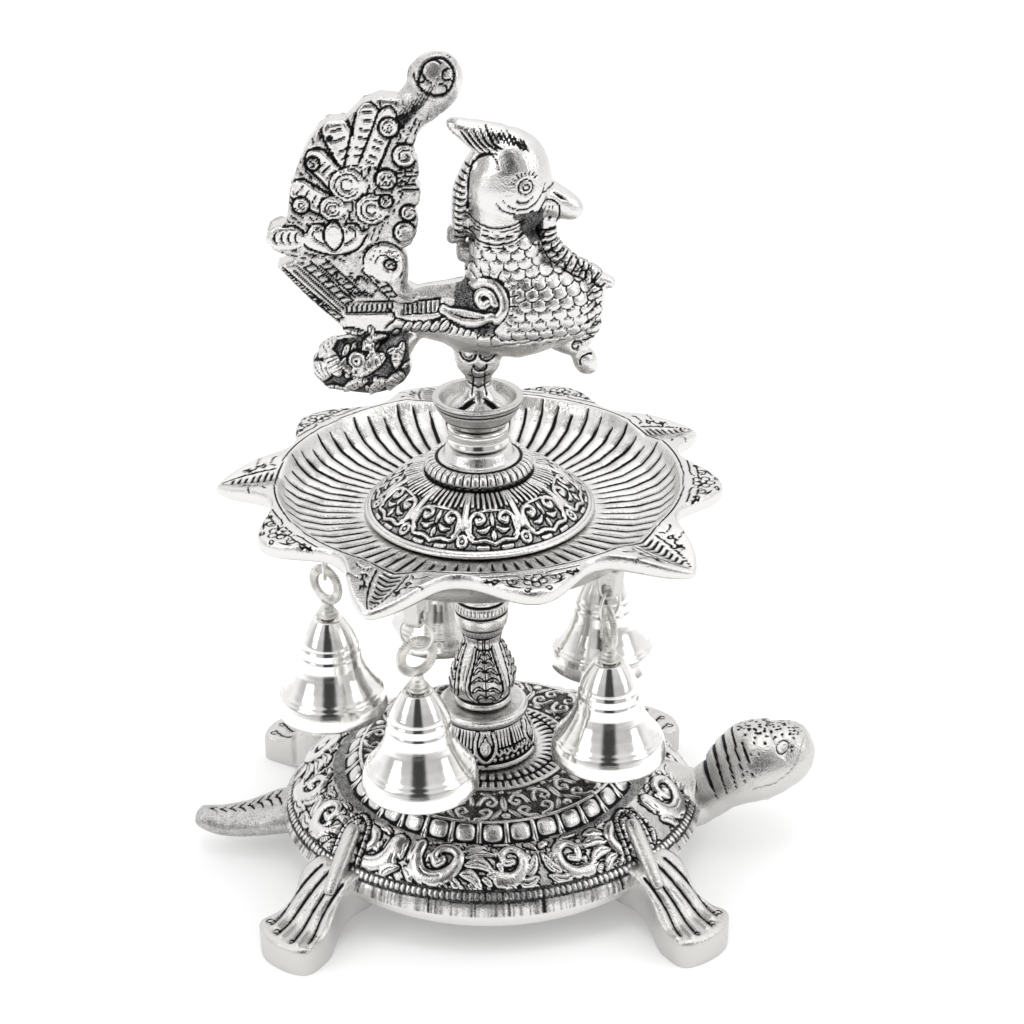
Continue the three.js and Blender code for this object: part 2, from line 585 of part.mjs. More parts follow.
function peacock() {
  const parts = [
    // body, from the tail's root to the breast
    loft([
      [-26, 33, 0, 0], [-24, 33.5, 5, 5], [-17, 34.5, 7.2, 7], [-9, 34.3, 8.8, 9], [0, 33.4, 11.8, 11.5],
      [9, 35.2, 15, 12.8], [17, 36, 14, 12.6], [24, 35.8, 11.8, 10.8], [30, 35.2, 8, 7.8], [33.5, 35, 0, 0],
    ], 12),
    // neck and head
    loft([
      [8, 38, 0, 0], [8.6, 42, 12.4, 10], [8, 50, 10.8, 9.2], [7.8, 54, 10.2, 9], [7, 57.5, 8.3, 8.8],
      [7.2, 61, 8.9, 9.4], [8.6, 66, 11.4, 10.8], [9.4, 72, 12.4, 11.2], [9.4, 78, 10.9, 10.4],
      [8, 83, 7.6, 7.8],
      [6.6, 87, 0, 0],
    ], 12),
    // crest
    loft([
      [8, 82, 0, 0], [6.5, 83, 5.6, 6], [1.5, 85.2, 4.4, 5], [-3, 87.3, 2.9, 3.6], [-6.2, 89, 1.6, 2.2],
      [-7.2, 89.6, 0, 0],
    ], 8),
    // beak
    loft([[15, 69, 0, 0], [18, 68, 5.6, 5.8], [22.5, 66.2, 4, 4.4], [27, 64, 2.6, 3],
    [29.6, 62.8, 0, 0]], 8),
    // ruff down the back of the neck, with two beads at its end
    loft([
      [3, 83, 0, 0], [1.6, 80, 2.6, 4], [-1.2, 75.5, 2.5, 4.6], [-3.4, 70, 2.6, 4.6], [-4.2, 64, 2.5, 4.6],
      [-4, 58, 2.4, 4], [-3, 55, 0, 0],
    ], 8),
    loft([[-5.4, 60, 0, 0], [-5.5, 58.8, 2.2, 3], [-5.4, 56, 2.6, 3], [-5, 54.8, 0, 0]], 8),
    loft([[-3, 54.8, 0, 0], [-3, 53.6, 2.4, 3.2], [-2.6, 50.8, 2.6, 3.2], [-2, 49.4, 0, 0]], 8),
    // garland from the beak over the breast
    loft([
      [23.5, 65.5, 0, 0], [21.6, 64, 3.2, 3], [19.8, 59.6, 2.4, 2.8], [20, 55, 2.5, 2.8],
      [23.6, 49.6, 2.8, 2.8],
      [29, 46, 2.8, 2.8], [34.4, 43.2, 2.4, 2.6], [38, 42.1, 1.7, 2], [39.2, 41.9, 0, 0],
    ], 8),
    loft([
      [33.5, 44, 0, 0], [33.4, 41.5, 3, 3.4], [33, 35.5, 3, 3.4], [31.2, 28, 2.8, 3.2], [29, 23, 2.7, 3],
      [30.6, 18.8, 3.6, 3.6], [31.6, 16, 2.8, 2.8], [31.9, 14.5, 0, 0],
    ], 8),
    // belly down to the stub of the garland
    loft([[22, 28, 0, 0], [24, 26, 4.6, 4], [28, 22.6, 2.8, 3], [29.5, 21, 0, 0]], 8),
    // knob at the top of the tail
    loft([
      [-26, 82, 0, 0], [-22.5, 86.5, 6.2, 4.4], [-17.8, 91.5, 5.8, 4.6], [-13.6, 95.4, 6.2, 5],
      [-10.8, 99, 7.5, 5.8],
      [-9.6, 103, 7.6, 5.6], [-9, 106.6, 5.2, 4], [-8.8, 108.8, 0, 0],
    ], 10),
    // cluster of feathers under the tail
    loft([
      [-45.6, 17, 0, 0], [-44.2, 17.4, 4.6, 5], [-38, 19, 7.9, 8], [-30, 19, 8.8, 8.6], [-25.5, 20, 8, 8],
      [-22.5, 24.5, 4.8, 7], [-18, 29, 3.6, 6], [-12, 31, 0, 0],
    ], 10),
    // curl beside the tail's root
    loft([
      [-26.5, 48, 0, 0], [-24.8, 51.3, 3.2, 5.6], [-21.6, 51.6, 2.8, 6], [-21.4, 47, 3, 6],
      [-22, 42, 3.4, 6],
      [-17.5, 38.6, 3.4, 6.6], [-11, 38, 0, 0],
    ], 8),
    // thigh, leg and the leaf-shaped feet
    loft([
      [0.3, 27.5, 0, 0], [0.3, 24, 7.6, 7.4], [0.3, 18.4, 6.4, 6.4], [0.3, 15, 4, 4.2],
      [0.3, 11.6, 3.4, 3.8],
      [0.5, 8.6, 5, 5], [0.6, 5.6, 9, 7.6], [0.6, 3.6, 9.4, 8], [0.6, 3, 0, 0],
    ], 10),
    tailFan(),
    cup(),
  ];
  const bore = cylinder(ROD_BORE_R, -1, ROD_IN_CUP, 16);
  return join(parts).subtract(bore);
}

// Bells, each in the hanging point's frame: z = 0 in the middle of the lug's hole

const ringTopZ = -(LUG_HOLE_R - RING_PLAY - WIRE_R);
const ringZ = ringTopZ - RING_R;
const eyeZ = ringZ - RING_R + WIRE_R + EYE_PLAY - EYE_HOLE_R;
const crownZ = eyeZ - EYE_OUTER_R - EYE_NECK_H;
const mouthZ = crownZ - BELL_H;
const bellNutZ = crownZ - CROWN_T - SEAT_GAP - BELL_NUT_H;
const tabHoleZ = bellNutZ - TAB_H + TAB_HOLE_R + 0.8;
const clapperZ = tabHoleZ - TAB_HOLE_R + CLAPPER_PLAY + CLAPPER_WIRE_R;

function jumpRing() {
  const geometry = new THREE.TorusGeometry(RING_R, WIRE_R, 5, 16);
  geometry.rotateX(Math.PI / 2);
  geometry.rotateZ(Math.PI / 2);
  geometry.translate(0, 0, ringZ);
  return solid(geometry);
}

// The flat eye over the bell, with its neck, its shank through the crown and a drilled tab for the clapper
function bellEye() {
  const ringOutline = new THREE.Shape().absarc(0, 0, EYE_OUTER_R, 0, Math.PI * 2, false);
  ringOutline.holes.push(new THREE.Path().absarc(0, 0, EYE_HOLE_R, 0, Math.PI * 2, false));
  const flat = { depth: EYE_T, bevelEnabled: false, curveSegments: 8 };
  const ring = new THREE.ExtrudeGeometry(ringOutline, flat);
  ring.translate(0, 0, -EYE_T / 2);
  ring.rotateX(Math.PI / 2);
  ring.rotateZ(Math.PI / 2 + degrees(EYE_TWIST));
  ring.translate(0, 0, eyeZ);
  const low = crownZ + SEAT_GAP;
  const neckProfile = [
    [0, low], [3.4, low], [3.4, low + 1.2], [2.5, low + 1.8], [1.7, low + 3.4],
    [1.7, crownZ + EYE_NECK_H + 0.8], [0, crownZ + EYE_NECK_H + 0.8],
  ];
  const neck = revolve(() => neckProfile, 8);
  const shank = cylinder(SHANK_R, bellNutZ - 0.6, low + 0.4, 6);
  const tabGeometry = new THREE.BoxGeometry(TAB_T, 2 * SHANK_R + 0.6, TAB_H);
  tabGeometry.translate(0, 0, bellNutZ - TAB_H / 2);
  const holeGeometry = new THREE.CylinderGeometry(TAB_HOLE_R, TAB_HOLE_R, 6, 8);
  holeGeometry.rotateZ(Math.PI / 2);
  holeGeometry.translate(0, 0, tabHoleZ);
  const tab = solid(tabGeometry).subtract(solid(holeGeometry));
  return join([solid(ring), neck, shank, tab]);
}

function bellShell() {
  const [mouth, waist, wall] = [BELL_MOUTH_R, BELL_WAIST_R, BELL_WALL];
  const outer = [
    [mouth, 0.5], [mouth, 2.2], [mouth - 1.2, 6.6], [mouth - 2.3, 7.2], [mouth - 4.5, 10.6],
    [waist + 2, 13.6],
    [waist + 0.7, 18], [waist, 23.4], [waist - 1.8, 27.2], [CROWN_R, BELL_H],
  ];
  const inner = [
    [SHANK_R + SHANK_CLEARANCE, BELL_H], [SHANK_R + SHANK_CLEARANCE, BELL_H - CROWN_T],
    [CROWN_R - 0.6, BELL_H - CROWN_T], [waist - 0.4 - wall, 22], [waist + 1.8 - wall, 13],
    [mouth - 2.8 - wall, 7], [mouth - 0.8, 0],
  ];
  const profile = [...outer, ...inner].map(([r, z]) => [r, z + mouthZ]);
  return revolve(() => profile, 16);
}

function bellNut() {
  return nut(BELL_NUT_FLATS, BELL_NUT_H, SHANK_R + SHANK_CLEARANCE).translate([0, 0, bellNutZ]);
}

function clapper() {
  const loop = new THREE.TorusGeometry(CLAPPER_LOOP_R, CLAPPER_WIRE_R, 4, 10);
  loop.rotateX(Math.PI / 2);
  loop.translate(0, 0, clapperZ - CLAPPER_LOOP_R);
  const ballZ = clapperZ - CLAPPER_LENGTH;
  const wire = cylinder(CLAPPER_WIRE_R + 0.15, ballZ, clapperZ - 2 * CLAPPER_LOOP_R + 0.05, 5);
  const ball = new THREE.SphereGeometry(CLAPPER_BALL_R, 8, 5);
  ball.rotateX(Math.PI / 2);
  ball.translate(0, 0, ballZ);
  return join([solid(loop), wire, solid(ball)]);
}

// The whole stand

const stand = new THREE.Group();
const column = new THREE.Group();
column.position.set(AXIS_X, AXIS_Y, 0);
stand.add(column);

function place(mesh, z) {
  mesh.position.z = z;
  column.add(mesh);
  return z;
}

const underShellZ = SHELL_SEAT_Z - SHELL_WALL;
const washerZ = underShellZ - SEAT_GAP - WASHER_T;
const nutZ = washerZ - SEAT_GAP - NUT_H;
const drumZ = SHELL_SEAT_Z + SEAT_GAP;
const stemZ = drumZ + DRUM_H + SEAT_GAP;
const trayZ = stemZ + STEM_H + SEAT_GAP;
const domeZ = trayZ + TRAY_FLOOR_T + SEAT_GAP;
const spoolZ = domeZ + DOME_H + SEAT_GAP;
const peacockZ = spoolZ + SPOOL_H + SEAT_GAP;

place(piece("turtle_base", tortoise(), "casting"), 0);
const washer = cylinder(WASHER_R, 0, WASHER_T, 20).subtract(cylinder(ROD_BORE_R, -1, WASHER_T + 1, 12));
place(piece("base_washer", washer, "steel"), washerZ);
place(piece("base_nut", nut(NUT_FLATS, NUT_H, ROD_BORE_R), "steel"), nutZ);
place(piece("lotus_drum", lotusDrum(), "casting"), drumZ);
place(piece("stem", stem(), "casting"), stemZ);
place(piece("tray", tray(), "casting"), trayZ);
place(piece("dome", dome(), "casting"), domeZ);
place(piece("neck_spool", spool(), "casting"), spoolZ);
place(piece("peacock", peacock(), "casting"), peacockZ);
const rodTop = peacockZ + ROD_IN_CUP - SEAT_GAP;
place(piece("threaded_rod", cylinder(ROD_R, nutZ - ROD_END, rodTop, 12), "steel"), 0);

hangAngles.forEach((angle, i) => {
  const hanging = new THREE.Group();
  hanging.rotation.z = angle;
  hanging.position.set(HANG_R * Math.cos(angle), HANG_R * Math.sin(angle), trayZ - LUG_DROP);
  hanging.add(
    piece(`jump_ring_${i + 1}`, jumpRing(), "wire"),
    piece(`bell_eye_${i + 1}`, bellEye(), "wire"),
    piece(`bell_${i + 1}`, bellShell(), "bell"),
    piece(`bell_nut_${i + 1}`, bellNut(), "steel"),
    piece(`clapper_${i + 1}`, clapper(), "wire"),
  );
  column.add(hanging);
});

export default stand;
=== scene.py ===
"""Looks of a standing oil lamp: a cast tortoise, stem, five-wick tray, dome and peacock, hung with five bells.

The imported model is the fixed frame. Each detailed piece stands for its plain solid and rides on its body. Castings
start as dense grids made with mesh operators; their points are then moved by drawn ornament, and every point keeps
how bright or blackened the metal is there, which the finishes read. Forms are worked in millimetres.
"""
import json
import logging
import math
from dataclasses import dataclass, field
from enum import Enum
from typing import Callable, Sequence

import bmesh
import bpy
import numpy as np
from mathutils import Matrix, Vector

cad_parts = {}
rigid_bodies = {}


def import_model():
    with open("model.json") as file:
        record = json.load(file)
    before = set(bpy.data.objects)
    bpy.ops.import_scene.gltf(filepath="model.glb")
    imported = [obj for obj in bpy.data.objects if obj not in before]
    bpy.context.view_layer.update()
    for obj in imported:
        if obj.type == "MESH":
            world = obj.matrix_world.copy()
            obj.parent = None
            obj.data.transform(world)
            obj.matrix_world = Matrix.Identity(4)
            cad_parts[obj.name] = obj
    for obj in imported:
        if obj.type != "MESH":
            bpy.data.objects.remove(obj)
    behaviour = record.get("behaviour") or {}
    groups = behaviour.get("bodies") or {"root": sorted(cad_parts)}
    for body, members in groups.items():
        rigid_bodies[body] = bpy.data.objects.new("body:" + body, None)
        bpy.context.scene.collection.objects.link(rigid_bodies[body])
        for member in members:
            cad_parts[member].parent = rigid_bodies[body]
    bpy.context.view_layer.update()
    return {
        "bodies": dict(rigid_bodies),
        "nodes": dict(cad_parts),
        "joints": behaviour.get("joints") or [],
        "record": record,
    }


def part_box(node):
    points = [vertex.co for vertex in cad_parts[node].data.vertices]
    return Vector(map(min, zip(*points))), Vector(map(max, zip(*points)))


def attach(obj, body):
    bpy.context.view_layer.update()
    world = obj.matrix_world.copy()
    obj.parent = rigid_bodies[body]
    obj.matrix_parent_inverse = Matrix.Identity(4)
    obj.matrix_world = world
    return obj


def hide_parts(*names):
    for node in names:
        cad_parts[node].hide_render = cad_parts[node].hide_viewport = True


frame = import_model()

MM = 0.001
TAU = 2 * math.pi
FAR = 9.0  # mm; further than any drawn line reaches
log = logging.getLogger("lamp")


# Shader maths

class Value:
    """A shader socket that takes part in sums like a number."""

    def __init__(self, graph: "Graph", socket: bpy.types.NodeSocket) -> None:
        """Keeps the graph and the socket."""
        self.graph = graph
        self.socket = socket

    def __add__(self, other: "Value | float") -> "Value":
        """Returns the sum."""
        return self.graph.maths("ADD", self, other)

    def __sub__(self, other: "Value | float") -> "Value":
        """Returns the difference."""
        return self.graph.maths("SUBTRACT", self, other)

    def __mul__(self, other: "Value | float") -> "Value":
        """Returns the product."""
        return self.graph.maths("MULTIPLY", self, other)

    def __rsub__(self, other: float) -> "Value":
        """Returns the difference the other way round."""
        return self.graph.maths("SUBTRACT", other, self)

    __radd__ = __add__
    __rmul__ = __mul__

    def rise(self, low: float, high: float) -> "Value":
        """Returns 0 below low and 1 above high, with a smooth step between."""
        inputs = {0: self, 1: low, 2: high}
        node = self.graph.node("MapRange", inputs, interpolation_type="SMOOTHSTEP", clamp=True)
        return Value(self.graph, node.outputs[0])


class Graph:
    """A material's or a world's nodes, added by short calls."""

    def __init__(self, name: str, world: bool = False) -> None:
        """Makes an empty node material or world."""
        self.material = (bpy.data.worlds if world else bpy.data.materials).new(name)
        self.material.use_nodes = True
        self.tree = self.material.node_tree
        self.tree.nodes.clear()

    def node(self, kind: str, inputs: dict | None = None, **settings: object) -> bpy.types.Node:
        """Adds any shader node.

        Args:
            kind: the node's type without its ShaderNode prefix.
            inputs: values or sockets by input name or number.
            settings: the node's own options.

        Returns:
            The new node.
        """
        node = self.tree.nodes.new("ShaderNode" + kind)
        for key, setting in settings.items():
            setattr(node, key, setting)
        for key, value in (inputs or {}).items():
            if isinstance(value, Value):
                self.tree.links.new(value.socket, node.inputs[key])
            else:
                node.inputs[key].default_value = value
        return node

    def maths(self, operation: str, a: "Value | float", b: "Value | float") -> Value:
        """Returns one arithmetic step on two values."""
        return Value(self, self.node("Math", {0: a, 1: b}, operation=operation).outputs[0])

    def place(self) -> Value:
        """Returns the point's place on the object, in metres."""
        return Value(self, self.node("TexCoord").outputs["Object"])

    def path(self, kind: str) -> Value:
        """Returns 1 where the ray is of a kind, as Is Camera Ray."""
        return Value(self, self.node("LightPath").outputs[kind])

    def noise(self, place: Value, scale: float, detail: float = 2.0) -> Value:
        """Returns a soft random pattern around 0.5."""
        node = self.node("TexNoise", {"Vector": place, "Scale": scale, "Detail": detail})
        return Value(self, node.outputs[0])

    def stored(self, name: str) -> Value:
        """Returns a number that each point of the mesh keeps."""
        return Value(self, self.node("Attribute", attribute_name=name).outputs["Fac"])

    def blend(self, factor: Value, low: Sequence[float], high: Sequence[float]) -> Value:
        """Returns a colour between two."""
        inputs = {0: factor, 6: (*low, 1.0), 7: (*high, 1.0)}
        return Value(self, self.node("Mix", inputs, data_type="RGBA").outputs[2])

    def bump(self, height: Value, strength: float, distance: float) -> Value:
        """Returns a surface direction roughened by a height."""
        node = self.node("Bump", {"Height": height, "Strength": strength, "Distance": distance})
        return Value(self, node.outputs[0])

    def metal(self, inputs: dict) -> bpy.types.Material:
        """Ends the graph in a metal shader with these inputs."""
        shader = self.node("BsdfPrincipled", {"Metallic": 1.0, **inputs})
        output = self.node("OutputMaterial")
        self.tree.links.new(shader.outputs[0], output.inputs[0])
        return self.material


# Finishes

@dataclass(frozen=True)
class CastSilver:
    """Cast silver-coloured metal: bright on what stands out, blackened in the recesses, finely pitted."""

    name: str
    bright: tuple[float, float, float] = (0.74, 0.73, 0.715)
    black: tuple[float, float, float] = (0.016, 0.016, 0.018)
    polish: float = 0.2
    pitting: float = 0.55
    grain: float = 0.35

    def material(self) -> bpy.types.Material:
        """Builds the finish, which reads each point's stored brightness."""
        g = Graph(self.name)
        place = g.place()
        cloud = g.noise(place, 420.0, 3.0)
        speck = g.noise(place, 2300.0, 2.0)
        kept = g.stored("bright")
        shine = (kept + (cloud - 0.5) * 0.28 + (speck - 0.5) * self.pitting).rise(0.22, 0.78)
        rough = shine * (self.polish - 0.6) + 0.6 + (speck - 0.5) * 0.12
        height = speck + cloud * 0.8 + g.noise(place, 900.0, 2.0) * 0.8
        return g.metal({
            "Base Color": g.blend(shine, self.black, self.bright),
            "Roughness": rough,
            "Normal": g.bump(height, self.grain, 0.0003),
        })


@dataclass(frozen=True)
class TurnedSilver:
    """Mirror-bright plate turned on a lathe, with faint rings and smears."""

    name: str
    bright: tuple[float, float, float] = (0.9, 0.89, 0.87)
    polish: float = 0.1
    rings: float = 0.12

    def material(self) -> bpy.types.Material:
        """Builds the finish; its rings run level, as the lathe left them."""
        g = Graph(self.name)
        place = g.place()
        squeezed = Value(g, g.node("Mapping", {"Vector": place, "Scale": (60.0, 60.0, 5200.0)}).outputs[0])
        lines = g.noise(squeezed, 1.0, 3.0)
        smear = g.noise(place, 260.0, 3.0)
        return g.metal({
            "Base Color": g.blend(smear.rise(0.3, 0.8), self.bright, tuple(c * 0.9 for c in self.bright)),
            "Roughness": lines * 0.1 + smear * 0.1 + (self.polish - 0.08),
            "Normal": g.bump(lines, self.rings, 0.0002),
        })


@dataclass(frozen=True)
class PlainMetal:
    """Worked wire, milled plate or steel with a fine grain."""

    name: str
    tone: tuple[float, float, float] = (0.8, 0.79, 0.76)
    polish: float = 0.34
    grain: float = 0.3
    scale: float = 1800.0

    def material(self) -> bpy.types.Material:
        """Builds the finish."""
        g = Graph(self.name)
        place = g.place()
        grain = g.noise(place, self.scale, 3.0)
        stain = g.noise(place, 300.0, 2.0)
        dark = tuple(c * 0.6 for c in self.tone)
        return g.metal({
            "Base Color": g.blend(stain.rise(0.25, 0.7), dark, self.tone),
            "Roughness": grain * 0.25 + (self.polish - 0.12),
            "Normal": g.bump(grain, self.grain, 0.0002),
        })


class Finish(Enum):
    """The lamp's finishes."""

    RELIEF = CastSilver("cast_silver")
    SMOOTH = CastSilver("cast_silver_filed", bright=(0.63, 0.62, 0.605), polish=0.24, pitting=0.5, grain=0.5)
    BELL = TurnedSilver("turned_silver")
    MILLED = PlainMetal("milled_ring", tone=(0.86, 0.84, 0.8), polish=0.42, grain=0.5)
    WIRE = PlainMetal("ring_wire", tone=(0.84, 0.82, 0.78), polish=0.26)
    STEEL = PlainMetal("plated_steel", tone=(0.6, 0.6, 0.58), polish=0.36)

    def material(self) -> bpy.types.Material:
        """Returns the finish's material, built once."""
        return bpy.data.materials.get(self.value.name) or self.value.material()


# Drawn lines

def curve(points: Sequence[Sequence[float]], count: int = 20) -> np.ndarray:
    """Draws a smooth line through points.

    Args:
        points: the places that it passes, each (x, y).
        count: how many points the line gets.

    Returns:
        An array of count points.
    """
    p = np.asarray(points, float)
    if len(p) < 3:
        t = np.linspace(0, 1, count)[:, None]
        return p[0] * (1 - t) + p[-1] * t
    ends = np.vstack([2 * p[0] - p[1], p, 2 * p[-1] - p[-2]])
    t = np.linspace(0, len(p) - 1 - 1e-9, count)
    i = t.astype(int)
    f = (t - i)[:, None]
    a, b, c, d = ends[i], ends[i + 1], ends[i + 2], ends[i + 3]
    return 0.5 * (2 * b + (c - a) * f + (2 * a - 5 * b + 4 * c - d) * f**2 + (3 * b - a - 3 * c + d) * f**3)


def spiral(centre: Sequence[float], outer: float, inner: float, start: float, turns: float) -> np.ndarray:
    """Draws a curl from its outer end inwards.

    Args:
        centre: where it winds to.
        outer: the radius at its start.
        inner: the radius at its end.
        start: the start's direction in degrees.
        turns: how many turns it makes, negative for clockwise.

    Returns:
        An array of points.
    """
    t = np.linspace(0, 1, max(12, int(abs(turns) * 26)))
    angle = math.radians(start) + t * turns * TAU
    r = outer + (inner - outer) * t**0.8
    return np.stack([centre[0] + r * np.cos(angle), centre[1] + r * np.sin(angle)], 1)


def ring(centre: Sequence[float], radius: float, count: int = 22) -> np.ndarray:
    """Draws a circle."""
    return spiral(centre, radius, radius, 0, 1)[:count * 2]


def turned(points: np.ndarray, degrees: float) -> np.ndarray:
    """Turns a drawn line about the origin."""
    c, s = math.cos(math.radians(degrees)), math.sin(math.radians(degrees))
    return np.asarray(points, float) @ np.array([[c, s], [-s, c]])


def swell(widest: float, tip: float = 0.12, count: int = 9, skew: float = 1.0) -> np.ndarray:
    """Returns half-widths along a leaf, narrow at both ends."""
    t = np.linspace(0, 1, count) ** skew
    return widest * np.maximum(np.sin(math.pi * np.clip(t, 0, 1)) ** 0.7, tip)


def taper(start: float, end: float, count: int = 9) -> np.ndarray:
    """Returns half-widths that change evenly along a line."""
    return np.linspace(start, end, count)


class Relief:
    """Ornament on a flat map of a surface: a height in mm and a brightness for each of its points."""

    CELL = 2.5
    RIM = 0.42

    def __init__(self, points: np.ndarray, ground: float = 0.12) -> None:
        """Lays out the map.

        Args:
            points: where each surface point lies on the map, in mm.
            ground: how bright the plain ground is.
        """
        self.points = np.asarray(points, float)
        self.height = np.zeros(len(points))
        self.bright = np.full(len(points), ground)
        cells = np.floor(self.points / self.CELL).astype(int)
        self.order = np.lexsort((cells[:, 1], cells[:, 0]))
        ordered = cells[self.order]
        starts = np.flatnonzero(np.r_[True, np.any(ordered[1:] != ordered[:-1], axis=1)])
        stops = np.r_[starts[1:], len(ordered)]
        self.cells = {(int(x), int(y)): (a, b) for (x, y), a, b in zip(ordered[starts], starts, stops)}

    def near(self, low: np.ndarray, high: np.ndarray) -> np.ndarray:
        """Returns the points in the cells between two corners."""
        x0, y0 = np.floor(low / self.CELL).astype(int)
        x1, y1 = np.floor(high / self.CELL).astype(int)
        found = [self.order[slice(*self.cells[x, y])] for x in range(x0, x1 + 1) for y in range(y0, y1 + 1)
                 if (x, y) in self.cells]
        return np.concatenate(found) if found else np.empty(0, int)

    def measure(self, path: np.ndarray, widths: float | np.ndarray) -> tuple[np.ndarray, np.ndarray]:
        """Finds the points beside a line.

        Args:
            path: the line's points.
            widths: half its width, at one place or evenly along it.

        Returns:
            The points' numbers, and how far across each lies, from 0 on the line to 1 at its edge.
        """
        path = np.asarray(path, float)
        w = np.atleast_1d(np.asarray(widths, float))
        at = np.linspace(0, 1, len(path))
        w = np.interp(at, np.linspace(0, 1, len(w)), w) if len(w) > 1 else np.full(len(path), w[0])
        reach = w.max()
        ids = self.near(path.min(0) - reach, path.max(0) + reach)
        if not len(ids):
            return ids, np.empty(0)
        p = self.points[ids]
        a, ab = path[:-1], path[1:] - path[:-1]
        length = np.maximum((ab**2).sum(1), 1e-12)
        t = np.clip(((p[:, None] - a) * ab).sum(2) / length, 0, 1)
        d = np.linalg.norm(p[:, None] - (a + t[..., None] * ab), axis=2)
        across = d / np.maximum(w[:-1] + t * (w[1:] - w[:-1]), 1e-6)
        across = across.min(1)
        keep = across < 1
        return ids[keep], across[keep]

    def raise_to(self, ids: np.ndarray, height: np.ndarray, bright: np.ndarray) -> None:
        """Lays a form over the points that it stands higher than."""
        over = height > self.height[ids]
        self.height[ids[over]] = height[over]
        self.bright[ids[over]] = bright[over]

    def bar(self, path: np.ndarray, width: float | np.ndarray, height: float = 0.6, bright: float = 1.0) -> "Relief":
        """Raises a rounded bar along a line, with a dark foot."""
        ids, _ = self.measure(path, np.asarray(width) + self.RIM)
        low = ids[self.height[ids] < 0.12]
        self.bright[low] = np.minimum(self.bright[low], 0.06)
        ids, d = self.measure(path, width)
        self.raise_to(ids, height * np.sqrt(1 - d**2), bright * np.clip((1 - d) / 0.28, 0, 1))
        return self

    def lift(self, path: np.ndarray, width: float | np.ndarray, height: float = 0.6) -> "Relief":
        """Adds a soft swelling along a line and leaves its brightness."""
        ids, d = self.measure(path, width)
        self.height[ids] += height * (1 - d**2) ** 2
        return self

    def cut(self, path: np.ndarray, width: float | np.ndarray, depth: float = 0.4, dark: float = 1.0) -> "Relief":
        """Cuts a blackened groove along a line."""
        ids, d = self.measure(path, width)
        self.height[ids] -= depth * (1 - d**2)
        self.bright[ids] = np.minimum(self.bright[ids], 1 - dark * np.clip((1 - d) / 0.5, 0, 1))
        return self

    def leaf(self, path: np.ndarray, width: float, height: float = 0.7, vein: float = 0.22) -> "Relief":
        """Raises a pointed leaf with a cut vein."""
        line = curve(path, 12)
        self.bar(line, swell(width), height)
        if vein:
            self.cut(line[1:-2], vein, height * 0.5, 0.8)
        return self

    def curl(self, path: np.ndarray, width: float, height: float = 0.7, eye: float = 0.0) -> "Relief":
        """Raises a bar that thins towards its end, with a bead where it ends."""
        self.bar(path, taper(width, width * 0.55), height)
        if eye:
            self.bead(path[-1], eye, height * 1.1)
        return self

    def bead(self, centre: Sequence[float], radius: float, height: float = 0.6, bright: float = 1.0) -> "Relief":
        """Raises a round bead."""
        c = np.asarray(centre, float)[:2]
        return self.bar(np.array([c, c + 1e-4]), radius, height, bright)

    def dot(self, centre: Sequence[float], radius: float, depth: float = 0.4) -> "Relief":
        """Sinks a round dark hollow."""
        c = np.asarray(centre, float)[:2]
        return self.cut(np.array([c, c + 1e-4]), radius, depth)

    def band(self, distance: np.ndarray, width: float, height: float, bright: float = 1.0) -> "Relief":
        """Raises a rounded bar where a measured distance is near 0."""
        d = np.abs(distance) / width
        ids = np.flatnonzero(d < 1)
        self.raise_to(ids, height * np.sqrt(1 - d[ids] ** 2), bright * np.clip((1 - d[ids]) / 0.4, 0, 1))
        return self

    def groove(self, distance: np.ndarray, width: float, depth: float, dark: float = 1.0) -> "Relief":
        """Cuts a blackened groove where a measured distance is near 0."""
        d = np.abs(distance) / width
        ids = np.flatnonzero(d < 1)
        self.height[ids] -= depth * (1 - d[ids] ** 2)
        self.bright[ids] = np.minimum(self.bright[ids], 1 - dark * np.clip((1 - d[ids]) / 0.5, 0, 1))
        return self

    def plain(self, where: np.ndarray, bright: float = 1.0, height: float = 0.0) -> "Relief":
        """Makes part of the ground plain, bright metal."""
        self.bright[where] = np.maximum(self.bright[where], bright)
        self.height[where] = np.maximum(self.height[where], height)
        return self


# Dense bodies

